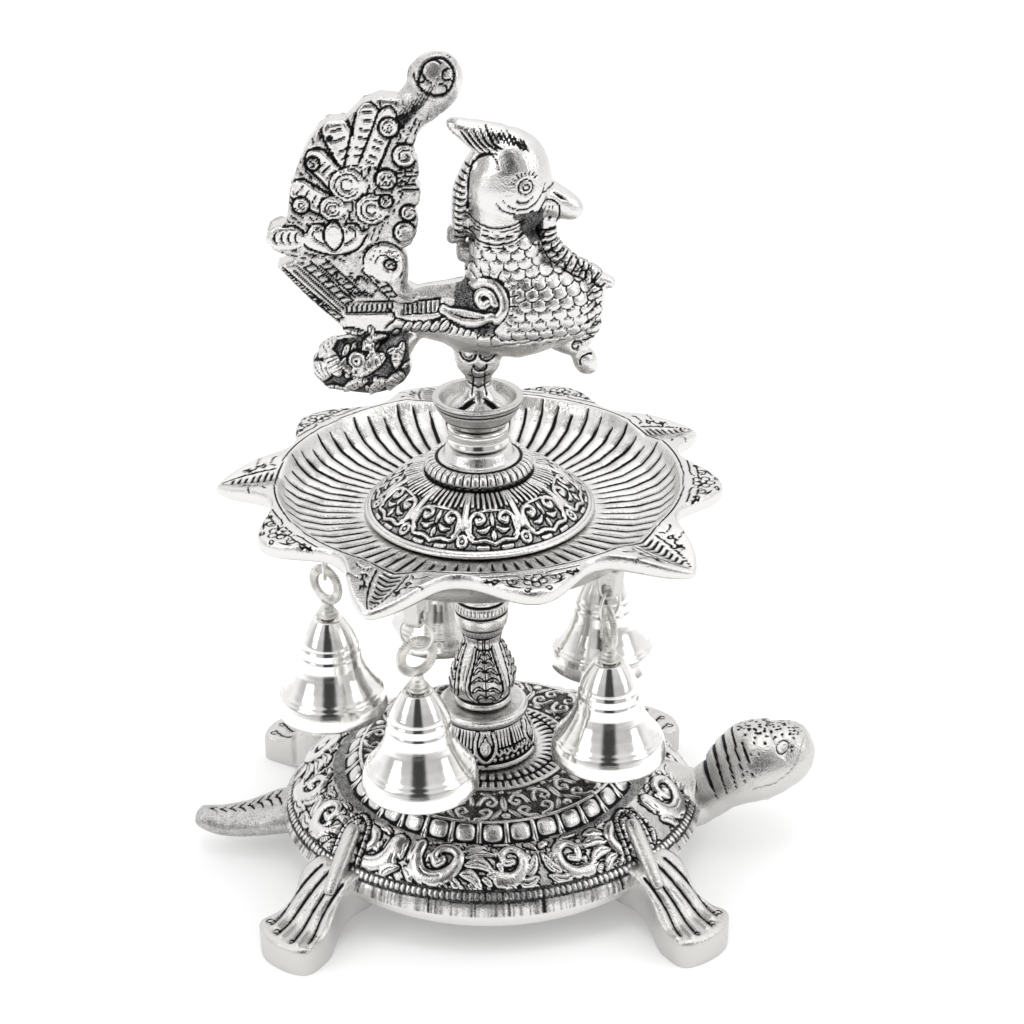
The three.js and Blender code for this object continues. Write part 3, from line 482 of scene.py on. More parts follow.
class Body:
    """A closed mesh whose points are moved as one array, in millimetres."""

    def __init__(self, mesh: bpy.types.Mesh) -> None:
        """Takes over a mesh."""
        self.mesh = mesh
        self.bright = np.ones(len(mesh.vertices))

    @property
    def points(self) -> np.ndarray:
        """The points, one row each."""
        flat = np.empty(len(self.mesh.vertices) * 3, np.float32)
        self.mesh.vertices.foreach_get("co", flat)
        return flat.reshape(-1, 3).astype(float)

    @points.setter
    def points(self, rows: np.ndarray) -> None:
        """Moves the points."""
        self.mesh.vertices.foreach_set("co", np.asarray(rows, np.float32).ravel())
        self.mesh.update()

    @property
    def normals(self) -> np.ndarray:
        """Each point's outward direction."""
        flat = np.empty(len(self.mesh.vertices) * 3, np.float32)
        self.mesh.vertex_normals.foreach_get("vector", flat)
        return flat.reshape(-1, 3).astype(float)

    def move(self, offset: Sequence[float]) -> "Body":
        """Shifts the body."""
        self.points = self.points + np.asarray(offset, float)
        return self

    def turn(self, degrees: float) -> "Body":
        """Turns the body about the Z axis."""
        self.mesh.transform(Matrix.Rotation(math.radians(degrees), 4, "Z"))
        return self

    def dress(self, relief: Relief, where: np.ndarray | None = None, along: np.ndarray | None = None) -> "Body":
        """Raises the ornament from the surface and keeps its brightness.

        Args:
            relief: the ornament, one value for each point it covers.
            where: the points that it covers, or all.
            along: the directions to raise along, or the surface's own.

        Returns:
            The body.
        """
        ids = np.arange(len(self.bright)) if where is None else where
        points, out = self.points, (self.normals if along is None else along)
        points[ids] += out[ids] * relief.height[:, None]
        self.points = points
        self.bright[ids] = relief.bright
        return self

    def soften(self, rounds: int, share: float = 0.5) -> "Body":
        """Evens out the surface."""
        edges = np.empty(len(self.mesh.edges) * 2, np.int32)
        self.mesh.edges.foreach_get("vertices", edges)
        a, b = edges.reshape(-1, 2).T
        count = np.bincount(np.r_[a, b], minlength=len(self.mesh.vertices))[:, None]
        points = self.points
        for _ in range(rounds):
            total = np.zeros_like(points)
            for k in range(3):
                total[:, k] = np.bincount(a, points[b, k], len(points)) + np.bincount(b, points[a, k], len(points))
            points += share * (total / count - points)
        self.points = points
        return self

    def remesh(self, voxel: float) -> "Body":
        """Makes one even skin round everything in the mesh.

        Args:
            voxel: the spacing of its points in mm.

        Returns:
            The body.
        """
        holder = bpy.data.objects.new("skin", self.mesh)
        bpy.context.scene.collection.objects.link(holder)
        skin = holder.modifiers.new("skin", "REMESH")
        skin.mode = "VOXEL"
        skin.voxel_size = voxel
        skin.use_smooth_shade = True
        made = bpy.data.meshes.new_from_object(holder.evaluated_get(bpy.context.evaluated_depsgraph_get()))
        bpy.data.objects.remove(holder)
        self.mesh = made
        self.bright = np.ones(len(made.vertices))
        return self

    def finish(self, name: str, rides: str, finish: Finish, slot: str, nodes: Sequence[str] = ()) -> bpy.types.Object:
        """Turns the body into a finished piece of the lamp.

        Args:
            name: the piece's name.
            rides: the CAD body that it moves with.
            finish: its metal.
            slot: the record's material slot; not used.
            nodes: the plain solids that it stands for.

        Returns:
            The piece.
        """
        kept = self.mesh.attributes.new("bright", "FLOAT", "POINT")
        kept.data.foreach_set("value", np.clip(self.bright, 0, 1).astype(np.float32))
        self.mesh.transform(Matrix.Scale(MM, 4))
        self.mesh.shade_smooth()
        self.mesh.name = name
        piece = bpy.data.objects.new(name, self.mesh)
        bpy.context.scene.collection.objects.link(piece)
        piece.data.materials.append(finish.material())
        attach(piece, rides)
        if nodes:
            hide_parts(*nodes)
        log.info("%s: %d faces", name, len(self.mesh.polygons))
        return piece


def as_body(bm: bmesh.types.BMesh, outward: bool = True) -> Body:
    """Ends a mesh under work and returns it as a body."""
    if outward:
        bmesh.ops.recalc_face_normals(bm, faces=bm.faces)
    mesh = bpy.data.meshes.new("work")
    bm.to_mesh(mesh)
    bm.free()
    return Body(mesh)


def joined(bodies: Sequence[Body]) -> Body:
    """Puts several bodies in one mesh."""
    bm = bmesh.new()
    for body in bodies:
        bm.from_mesh(body.mesh)
    return as_body(bm, outward=False)


@dataclass
class Outline:
    """A closed outline of [radius, height] corners, read at even or chosen spacing with softened corners."""

    corners: np.ndarray
    spacing: Sequence[float]
    soft: float = 1.5

    def weights(self) -> np.ndarray:
        """Returns each reading's share of each corner; spacing gives the reading distance on each side in mm."""
        p = np.asarray(self.corners, float)
        k = len(p)
        sides = np.linalg.norm(np.roll(p, -1, 0) - p, axis=1)
        counts = np.maximum(1, np.round(sides / np.asarray(self.spacing))).astype(int)
        rows = []
        for i, count in enumerate(counts):
            for f in np.arange(count) / count:
                row = np.zeros(k)
                row[i] += 1 - f
                row[(i + 1) % k] += f
                rows.append(row)
        w = np.array(rows)
        if self.soft:
            n = len(w)
            gap = np.arange(n)
            gap = np.minimum(gap, n - gap)
            kernel = np.exp(-0.5 * (gap / self.soft) ** 2)
            kernel /= kernel.sum()
            w = np.real(np.fft.ifft(np.fft.fft(w, axis=0) * np.fft.fft(kernel)[:, None], axis=0))
        return w


def lathe(outline: Outline, steps: int, corners_at: Callable[[np.ndarray], np.ndarray] | None = None) -> Body:
    """Turns an outline round the Z axis.

    Args:
        outline: the outline and how it is read.
        steps: how many steps the turn has.
        corners_at: gives the corners for each of an array of angles in radians, where they change round the turn.

    Returns:
        The body.
    """
    w = outline.weights()
    rows = len(w)
    bm = bmesh.new()
    bmesh.ops.create_grid(bm, x_segments=steps, y_segments=rows, size=1)
    body = as_body(bm, outward=False)
    p = body.points
    at_step = np.round((p[:, 0] + 1) / 2 * steps).astype(int) % steps
    at_row = np.round((p[:, 1] + 1) / 2 * rows).astype(int) % rows
    angles = np.arange(steps) / steps * TAU
    if corners_at is None:
        section = np.broadcast_to(w @ np.asarray(outline.corners, float), (steps, rows, 2))
    else:
        section = np.einsum("nk,akc->anc", w, corners_at(angles))
    r, z = section[at_step, at_row].T
    body.points = np.stack([r * np.cos(angles[at_step]), r * np.sin(angles[at_step]), z], 1)
    return face_out(closed(body))


def closed(body: Body) -> Body:
    """Joins the points where a wrapped grid meets itself."""
    bm = bmesh.new()
    bm.from_mesh(body.mesh)
    bmesh.ops.remove_doubles(bm, verts=bm.verts, dist=1e-5)
    bm.to_mesh(body.mesh)
    bm.free()
    body.bright = np.ones(len(body.mesh.vertices))
    return body


def face_out(body: Body) -> Body:
    """Turns the faces outward if the body's volume reads negative."""
    bm = bmesh.new()
    bm.from_mesh(body.mesh)
    if bm.calc_volume(signed=True) < 0:
        bmesh.ops.reverse_faces(bm, faces=bm.faces)
    bm.to_mesh(body.mesh)
    bm.free()
    body.mesh.update()
    return body


def loft(stations: Sequence[Sequence[float]], sides: int = 24, rows: int = 40, square: float = 0.0) -> Body:
    """Makes a body with oval sections along a path in the XZ plane.

    Args:
        stations: each [x, z, half width in the plane, half depth along Y], first and last of no width.
        sides: points round a section.
        rows: sections along the path.
        square: 0 for ovals, up to 1 for rounded squares.

    Returns:
        The body.
    """
    s = np.asarray(stations, float)
    bm = bmesh.new()
    bmesh.ops.create_uvsphere(bm, u_segments=sides, v_segments=rows, radius=1)
    body = as_body(bm)
    p = body.points
    row = np.round(np.arccos(np.clip(-p[:, 2], -1, 1)) / math.pi * rows)
    angle = np.arctan2(p[:, 1], p[:, 0])
    chord = np.r_[0, np.cumsum(np.linalg.norm(np.diff(s[:, :2], axis=0), axis=1) + 0.3)]
    ease = 0.5 - 0.5 * np.cos(row / rows * math.pi)
    at = (0.35 * ease + 0.65 * row / rows) * chord[-1]
    path = curve_at(s[:, :2], chord, at)
    ahead = curve_at(s[:, :2], chord, at + 0.05) - curve_at(s[:, :2], chord, at - 0.05)
    ahead /= np.maximum(np.linalg.norm(ahead, axis=1), 1e-9)[:, None]
    wide, deep = (np.sqrt(np.maximum(np.interp(at, chord, s[:, k] ** 2), 0)) for k in (2, 3))
    c, d = np.cos(angle), np.sin(angle)
    bulge = 1 + square * (1 / (c**4 + d**4) ** 0.25 - 1)
    body.points = np.stack([
        path[:, 0] - ahead[:, 1] * wide * c * bulge,
        deep * d * bulge,
        path[:, 1] + ahead[:, 0] * wide * c * bulge,
    ], 1)
    return face_out(body)


def curve_at(points: np.ndarray, chord: np.ndarray, at: np.ndarray) -> np.ndarray:
    """Reads a smooth line through points at given lengths along it."""
    p = np.vstack([2 * points[0] - points[1], points, 2 * points[-1] - points[-2]])
    t = np.interp(at, chord, np.arange(len(points)))
    i = np.clip(t.astype(int), 0, len(points) - 2)
    f = (t - i)[:, None]
    a, b, c, d = p[i], p[i + 1], p[i + 2], p[i + 3]
    return 0.5 * (2 * b + (c - a) * f + (2 * a - 5 * b + 4 * c - d) * f**2 + (3 * b - a - 3 * c + d) * f**3)


def slab(outline: np.ndarray, thick: float, bevel: float) -> Body:
    """Makes a flat plate with rounded edges from an outline in the XY plane, centred on z = 0."""
    bm = bmesh.new()
    corners = [bm.verts.new((x, y, -thick / 2)) for x, y in outline]
    face = bm.faces.new(corners)
    made = bmesh.ops.extrude_face_region(bm, geom=[face])
    bmesh.ops.translate(bm, vec=(0, 0, thick), verts=[v for v in made["geom"] if isinstance(v, bmesh.types.BMVert)])
    rims = [e for e in bm.edges if abs(e.verts[0].co.z - e.verts[1].co.z) < 1e-6]
    bmesh.ops.bevel(bm, geom=rims, offset=bevel, segments=2, affect="EDGES", profile=0.5, material=-1)
    return as_body(bm)


def polar_fold(points: np.ndarray, middle: float, pitch: float) -> np.ndarray:
    """Lays every repeat of a round pattern over one.

    Args:
        points: the surface points.
        middle: the direction of one repeat's middle in degrees.
        pitch: the degrees between repeats.

    Returns:
        For each point, how far it lies across its repeat and how far out, in mm.
    """
    r = np.hypot(points[:, 0], points[:, 1])
    a = (np.degrees(np.arctan2(points[:, 1], points[:, 0])) - middle + pitch / 2) % pitch - pitch / 2
    return np.stack([r * np.sin(np.radians(a)), r * np.cos(np.radians(a))], 1)


def upright_fold(points: np.ndarray, middle: float, pitch: float, radius: float) -> np.ndarray:
    """Lays every repeat of a pattern on an upright form over one: across in mm at a radius, and the height."""
    a = (np.degrees(np.arctan2(points[:, 1], points[:, 0])) - middle + pitch / 2) % pitch - pitch / 2
    return np.stack([np.radians(a) * radius, points[:, 2]], 1)


def mirrored(draw: Callable[[float], None]) -> None:
    """Draws a motif on both sides; the side, -1 or 1, is passed on."""
    draw(-1.0)
    draw(1.0)


FRONT = -90.0


@dataclass
class Place:
    """Where the castings stand: the column's axis and each casting's foot, read from the frame."""

    axis: Vector = field(init=False)

    def __post_init__(self) -> None:
        """Reads the column's axis."""
        low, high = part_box("stem")
        self.axis = (low + high) / 2 / MM

    def foot(self, node: str) -> tuple[float, float, float]:
        """Returns the axis at a casting's foot, in mm."""
        return (self.axis.x, self.axis.y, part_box(node)[0].z / MM)


# Column

@dataclass
class LotusDrum:
    """The drum on the shell, with hanging lotus petals round it."""

    ring_r: float = 16.4
    disc_r: float = 13.6
    height: float = 15.9
    bore_r: float = 3.3
    petals: int = 5

    def build(self, place: Place) -> None:
        """Builds and dresses the drum."""
        r, d, h = self.ring_r, self.disc_r, self.height
        corners = [
            (self.bore_r, 0), (r - 0.7, 0), (r, 0.7), (r - 0.2, 1.6), (r - 0.9, 2.2), (r - 1.3, 5), (d + 0.2, 9),
            (d - 0.8, 11.6), (d - 0.9, 12.5), (d, 13.2), (d, h - 0.8), (d - 0.8, h), (self.bore_r, h),
        ]
        spacing = [3, 0.3, 0.3, 0.3, 0.3, 0.3, 0.3, 0.3, 0.3, 0.3, 0.3, 0.7, 2]
        body = lathe(Outline(corners, spacing, 1.2), 300)
        points = body.points
        relief = Relief(upright_fold(points, FRONT + 2, 360 / self.petals, 14.5), ground=0.95)
        self.draw(relief)
        z = points[:, 2]
        radius = np.hypot(points[:, 0], points[:, 1])
        relief.bright[(z > h - 0.3) & (radius < 12.4)] = 0.62
        relief.groove(z - 12.3, 0.35, 0.15)
        relief.groove(z - 2.2, 0.4, 0.3)
        body.dress(relief).move(place.foot("lotus_drum"))
        body.finish("lotus_drum_cast", "stand", Finish.RELIEF, "drum_casting", ["lotus_drum"])

    def draw(self, relief: Relief) -> None:
        """Draws one petal with its bud, and half a fluted petal to each side."""
        low = (relief.points[:, 1] > 2.2) & (relief.points[:, 1] < 4.8)
        relief.bright[low] = 0.3

        def side(s: float) -> None:
            """Draws one side of the leaf on the panel."""
            relief.bar(curve([(0, 2.4), (s * 1.3, 3.3), (s * 2.8, 5.4), (s * 3.3, 8.2), (s * 2.6, 11.4)], 18), 0.5,
                       0.45)
            relief.cut(curve([(0, 3.4), (s * 1.0, 4.2), (s * 2.1, 6.0), (s * 2.5, 8.2), (s * 1.9, 11.0)], 16), 0.36,
                       0.45)
            relief.bar(curve([(0, 4.6), (s * 0.9, 5.8), (s * 1.2, 7.4), (s * 0.6, 9.0)], 8), swell(0.5), 0.4)
            for k in range(5):
                x, foot = s * (4.1 + 1.2 * k), 5.2 + 0.7 * (k % 2)
                relief.cut(np.array([(x * 0.98, foot), (x, 11.5)]), taper(0.5, 0.22), 0.6)
                relief.bar(curve([(x - 0.7, foot + 0.2), (x, foot - 0.9), (x + 0.7, foot + 0.2)], 6), 0.34, 0.4)
            for k in range(4):
                relief.bead((s * (2.6 + 1.85 * k), 3.3), 0.62, 0.35)

        mirrored(side)
        relief.leaf(np.array([(0, 5.0), (0, 10.2)]), 0.7, 0.5, 0.0)
        relief.dot((0, 10.9), 0.4)


@dataclass
class Stem:
    """The turned stem; its belly is a rounded square with a leaf panel on each face."""

    foot_r: float = 8.8
    belly_r: float = 9.6
    neck_r: float = 5.4
    collar_r: float = 8.2
    top_r: float = 10.5
    height: float = 56.7
    bore_r: float = 3.3
    turn: float = -20.0
    panel: float = FRONT + 5

    def build(self, place: Place) -> None:
        """Builds and dresses the stem."""
        n, c, t = self.neck_r, self.collar_r, self.height
        corners = np.array([
            (self.bore_r, 0), (self.foot_r, 0), (self.foot_r, 1.6), (self.foot_r - 0.9, 2.6),
            (self.belly_r - 0.7, 4.5),
            (self.belly_r, 8), (self.belly_r - 0.7, 12), (n + 1.4, 17.5), (n, 21.4), (n + 0.4, 23.2), (c - 1.4, 25.2),
            (c - 1.2, 26.4), (c - 0.4, 27.2), (c, 29.8), (c - 0.2, 31.2), (c - 0.5, 31.6), (c, 32.4), (c, 34),
            (c - 1.0, 35.4), (n + 0.8, 40.5), (n + 0.6, 45), (self.top_r - 1.4, t - 4.4), (self.top_r, t),
            (self.bore_r, t),
        ])
        spacing = [3] + [0.34] * 18 + [0.5] * 3 + [3, 3]

        def corners_at(angles: np.ndarray) -> np.ndarray:
            """Returns the corners of the stem's section at each angle."""
            z = corners[:, 1]
            up = np.clip((z - 2) / 3, 0, 1)
            down = np.clip((z - 16) / 6, 0, 1)
            belly = up**2 * (3 - 2 * up) * (1 - down**2 * (3 - 2 * down))
            belly = np.where(corners[:, 0] > self.bore_r, 0.7 * belly, 0)
            a = angles - math.radians(self.turn)
            bulge = 1 / (np.cos(a) ** 4 + np.sin(a) ** 4) ** 0.25
            r = corners[:, 0] * (1 + belly * (bulge[:, None] - 1))
            return np.stack([r, np.broadcast_to(z, r.shape)], 2)

        body = lathe(Outline(corners, spacing, 1.3), 190, corners_at)
        points = body.points
        relief = Relief(upright_fold(points, self.panel, 90, 9.3), ground=0.95)
        self.draw(relief, points)
        body.dress(relief).move(place.foot("stem"))
        body.finish("stem_cast", "stand", Finish.RELIEF, "stem_casting", ["stem"])

    def draw(self, relief: Relief, points: np.ndarray) -> None:
        """Draws one leaf panel, the plain face's line and the collars."""
        z = points[:, 2]
        relief.bright[z < 2.2] = 0.7

        def side(s: float) -> None:
            """Draws one side of the frame and its lines."""
            frame = curve([(s * 2.2, 3.4), (s * 4.4, 5.4), (s * 4.9, 9), (s * 4.5, 13), (s * 3.8, 17.5),
                           (s * 3.6, 20.4)], 20)
            relief.cut(frame, 0.4, 0.45)
            relief.bar(frame + (s * 0.75, 0), 0.4, 0.25)
            relief.cut(frame + (s * 1.45, 0), 0.2, 0.3, 0.8)
            for k, z0 in enumerate((4.6, 7.4, 10.4, 13.2, 15.8, 18.0)):
                reach = (2.6, 3.9, 4.1, 3.7, 3.2, 2.7)[k]
                tip = curve([(s * 0.5, z0 + 1.3), (s * reach * 0.55, z0 + 1.8), (s * reach, z0 + 0.1)], 10)
                relief.cut(tip + (0, -0.15), swell(0.62), 0.45)
                relief.bar(tip + (0, -0.2), swell(0.3), 0.3, 0.75)
            relief.cut([(s * 7.2, 5.4), (s * 7.2, 8.4)], swell(0.24), 0.3, 0.7)
            relief.cut([(s * 7.1, 10.6), (s * 7.1, 15.4)], swell(0.26), 0.3, 0.8)
            relief.bar([(s * 1.7, 21.0), (s * 1.7, 23.0)], 1.1, 0.3, 0.8)
            relief.cut([(s * 0.35, 20.4), (s * 0.35, 23.4)], 0.26, 0.3)
            relief.cut([(s * 3.0, 20.2), (s * 3.0, 23.4)], 0.26, 0.3)

        mirrored(side)
        relief.cut([(0, 4.2), (0, 19.6)], taper(0.36, 0.26), 0.4)
        relief.cut([(-3.6, 20.2), (3.6, 20.2)], 0.3, 0.35)
        for z0, width in ((23.9, 0.4), (26.8, 0.5), (31.4, 0.45), (35.2, 0.5), (2.7, 0.6)):
            relief.groove(z - z0, width, 0.3)
        ticks = np.degrees(np.arctan2(points[:, 1], points[:, 0])) % 9 - 4.5
        relief.groove(np.where((z > 32.3) & (z < 34.4), np.radians(ticks) * 8, FAR), 0.26, 0.25, 0.75)
        relief.groove(np.where((z > 24.3) & (z < 26.2), np.radians(ticks) * 8, FAR), 0.2, 0.15, 0.5)


@dataclass
class Dome:
    """The ornamented dome in the middle of the tray, with ten scrolled panels."""

    foot_r: float = 33.8
    ring_r: float = 15.7
    height: float = 20.8
    wall: float = 3.2
    neck_r: float = 8.7
    bore_r: float = 3.3
    panels: int = 10

    def build(self, place: Place) -> None:
        """Builds and dresses the dome."""
        f, g, t = self.foot_r, self.ring_r, self.height
        corners = [
            (f, 0), (f, 1.2), (f - 1.8, 2), (f - 5, 4.4), (f - 8.8, 8), (g + 4.8, 10.6), (g - 0.9, 12.4), (g, 14),
            (g - 1, 16), (self.neck_r + 1.8, 17.4), (self.neck_r + 0.6, t), (self.bore_r, t), (self.bore_r, t - 3.4),
            (self.neck_r + 1, 12.4), (g + 1, 8.8), (f - 6.4 - self.wall, 3.4), (f - 1.6 - self.wall, 0),
        ]
        spacing = [0.36] * 9 + [0.5, 2, 2, 2.5, 2.5, 2.5, 2.5, 2]
        body = lathe(Outline(corners, spacing, 1.3), 520)
        points = body.points
        relief = Relief(polar_fold(points, FRONT + 8, 360 / self.panels), ground=0.45)
        r = np.hypot(points[:, 0], points[:, 1])
        self.draw(relief, points, r)
        outside = np.flatnonzero(body.normals[:, 2] > -0.2)
        kept = Relief(relief.points[outside])
        kept.height, kept.bright = relief.height[outside], relief.bright[outside]
        body.dress(kept, outside).move(place.foot("dome"))
        body.finish("dome_cast", "stand", Finish.RELIEF, "dome_casting", ["dome"])

    def draw(self, relief: Relief, points: np.ndarray, r: np.ndarray) -> None:
        """Draws one panel between two ridges, the gadrooned ring above and the plain flange."""
        half = math.radians(180 / self.panels)

        def out(x: float, radius: float) -> tuple[float, float]:
            """Returns the point at a share of the half width, at a radius."""
            return (radius * math.sin(x * half), radius * math.cos(x * half))

        def side(s: float) -> None:
            """Draws one side of the panel."""
            ridge = [out(s, 16.4), out(s, 22), out(s, 26.4)]
            relief.bar(curve(ridge, 10), taper(0.75, 1.0), 0.7)
            relief.bar(curve([out(s * 0.93, 25.6), out(s * 0.84, 27.4), out(s * 0.66, 28.6)], 8), taper(0.8, 0.35),
                       0.6)
            scroll = curve([out(s * 0.78, 27.2), out(s * 0.8, 24.6), out(s * 0.62, 22.8), out(s * 0.36, 23.2),
                            out(s * 0.3, 24.7), out(s * 0.5, 25.5), out(s * 0.58, 24.6)], 26)
            relief.bar(scroll, taper(0.62, 0.5), 0.6)
            relief.bead(out(s * 0.45, 24.5), 0.5, 0.45, 0.8)
            relief.bar(curve([out(s * 0.1, 26.2), out(s * 0.3, 27.2), out(s * 0.52, 27.0)], 8), swell(0.55), 0.5)
            zigzag = curve([out(0, 30.3), out(s * 0.3, 29.3), out(s * 0.62, 29.6), out(s * 0.8, 28.4)], 14)
            relief.bar(zigzag, 0.42, 0.5)
            relief.bar(ring(out(s, 29.6), 1.25), 0.42, 0.5)
            relief.bead(out(s, 29.6), 0.45, 0.4)
            relief.bar([out(s * 0.5, 31.0), out(s * 0.22, 31.2)], 0.5, 0.3)

        mirrored(side)
        relief.leaf(np.array([out(0, 22.6), out(0, 26.4)]), 0.6, 0.6, 0.0)
        relief.leaf(np.array([out(0, 27.2), out(0, 29.2)]), 0.7, 0.5, 0.0)
        for k in range(-3, 4):
            relief.bar([out(k * 0.27, 16.2), out(k * 0.25, 21.6 - 0.25 * abs(k))], taper(0.46, 0.36), 0.5)
        relief.bar(curve([out(-0.5, 22.4), out(0, 21.9), out(0.5, 22.4)], 10), 0.3, 0.35)
        z = points[:, 2]
        angle = np.degrees(np.arctan2(points[:, 1], points[:, 0]))
        relief.plain(r > 31.9, 0.9)
        relief.groove(r - 31.7, 0.3, 0.4)
        relief.groove(np.where(z > 1, r - 32.8, FAR), 0.22, 0.15, 0.5)
        flute = (angle % 9 - 4.5) / 4.5
        ringed = np.flatnonzero((z > 12.6) & (z < 16.6) & (r > 11))
        relief.height[ringed] = 0.7 * np.sqrt(1 - np.clip(flute[ringed], -1, 1) ** 2) - 0.3
        relief.bright[ringed] = np.clip((1 - np.abs(flute[ringed])) / 0.4, 0, 1)
        relief.groove(z - 12.5, 0.36, 0.4)
        relief.plain((z > 16.5), 1.0)
        relief.groove(np.where(r > 9, z - 16.8, FAR), 0.25, 0.2, 0.8)


@dataclass
class NeckSpool:
    """The polished neck between the dome and the cup."""

    radius: float = 8.7
    height: float = 6.0
    bore_r: float = 3.3

    def build(self, place: Place) -> None:
        """Builds the neck."""
        r, h = self.radius, self.height
        corners = [(self.bore_r, 0), (r + 0.6, 0), (r + 0.5, 0.8), (r - 0.1, 2.4), (r + 0.1, h - 1.2),
                   (r + 0.3, h - 0.6),
                   (r - 0.1, h), (self.bore_r, h)]
        body = lathe(Outline(corners, [2, 0.3, 0.3, 0.3, 0.3, 0.3, 2, 2], 1.2), 160)
        points = body.points
        relief = Relief(points[:, :2], ground=1.0)
        relief.groove(points[:, 2] - (h - 1.3), 0.3, 0.2, 0.8)
        relief.groove(points[:, 2] - 0.4, 0.3, 0.15, 0.9)
        body.dress(relief).move(place.foot("neck_spool"))
        body.finish("neck_spool_cast", "stand", Finish.BELL, "spool_casting", ["neck_spool"])


# Tray

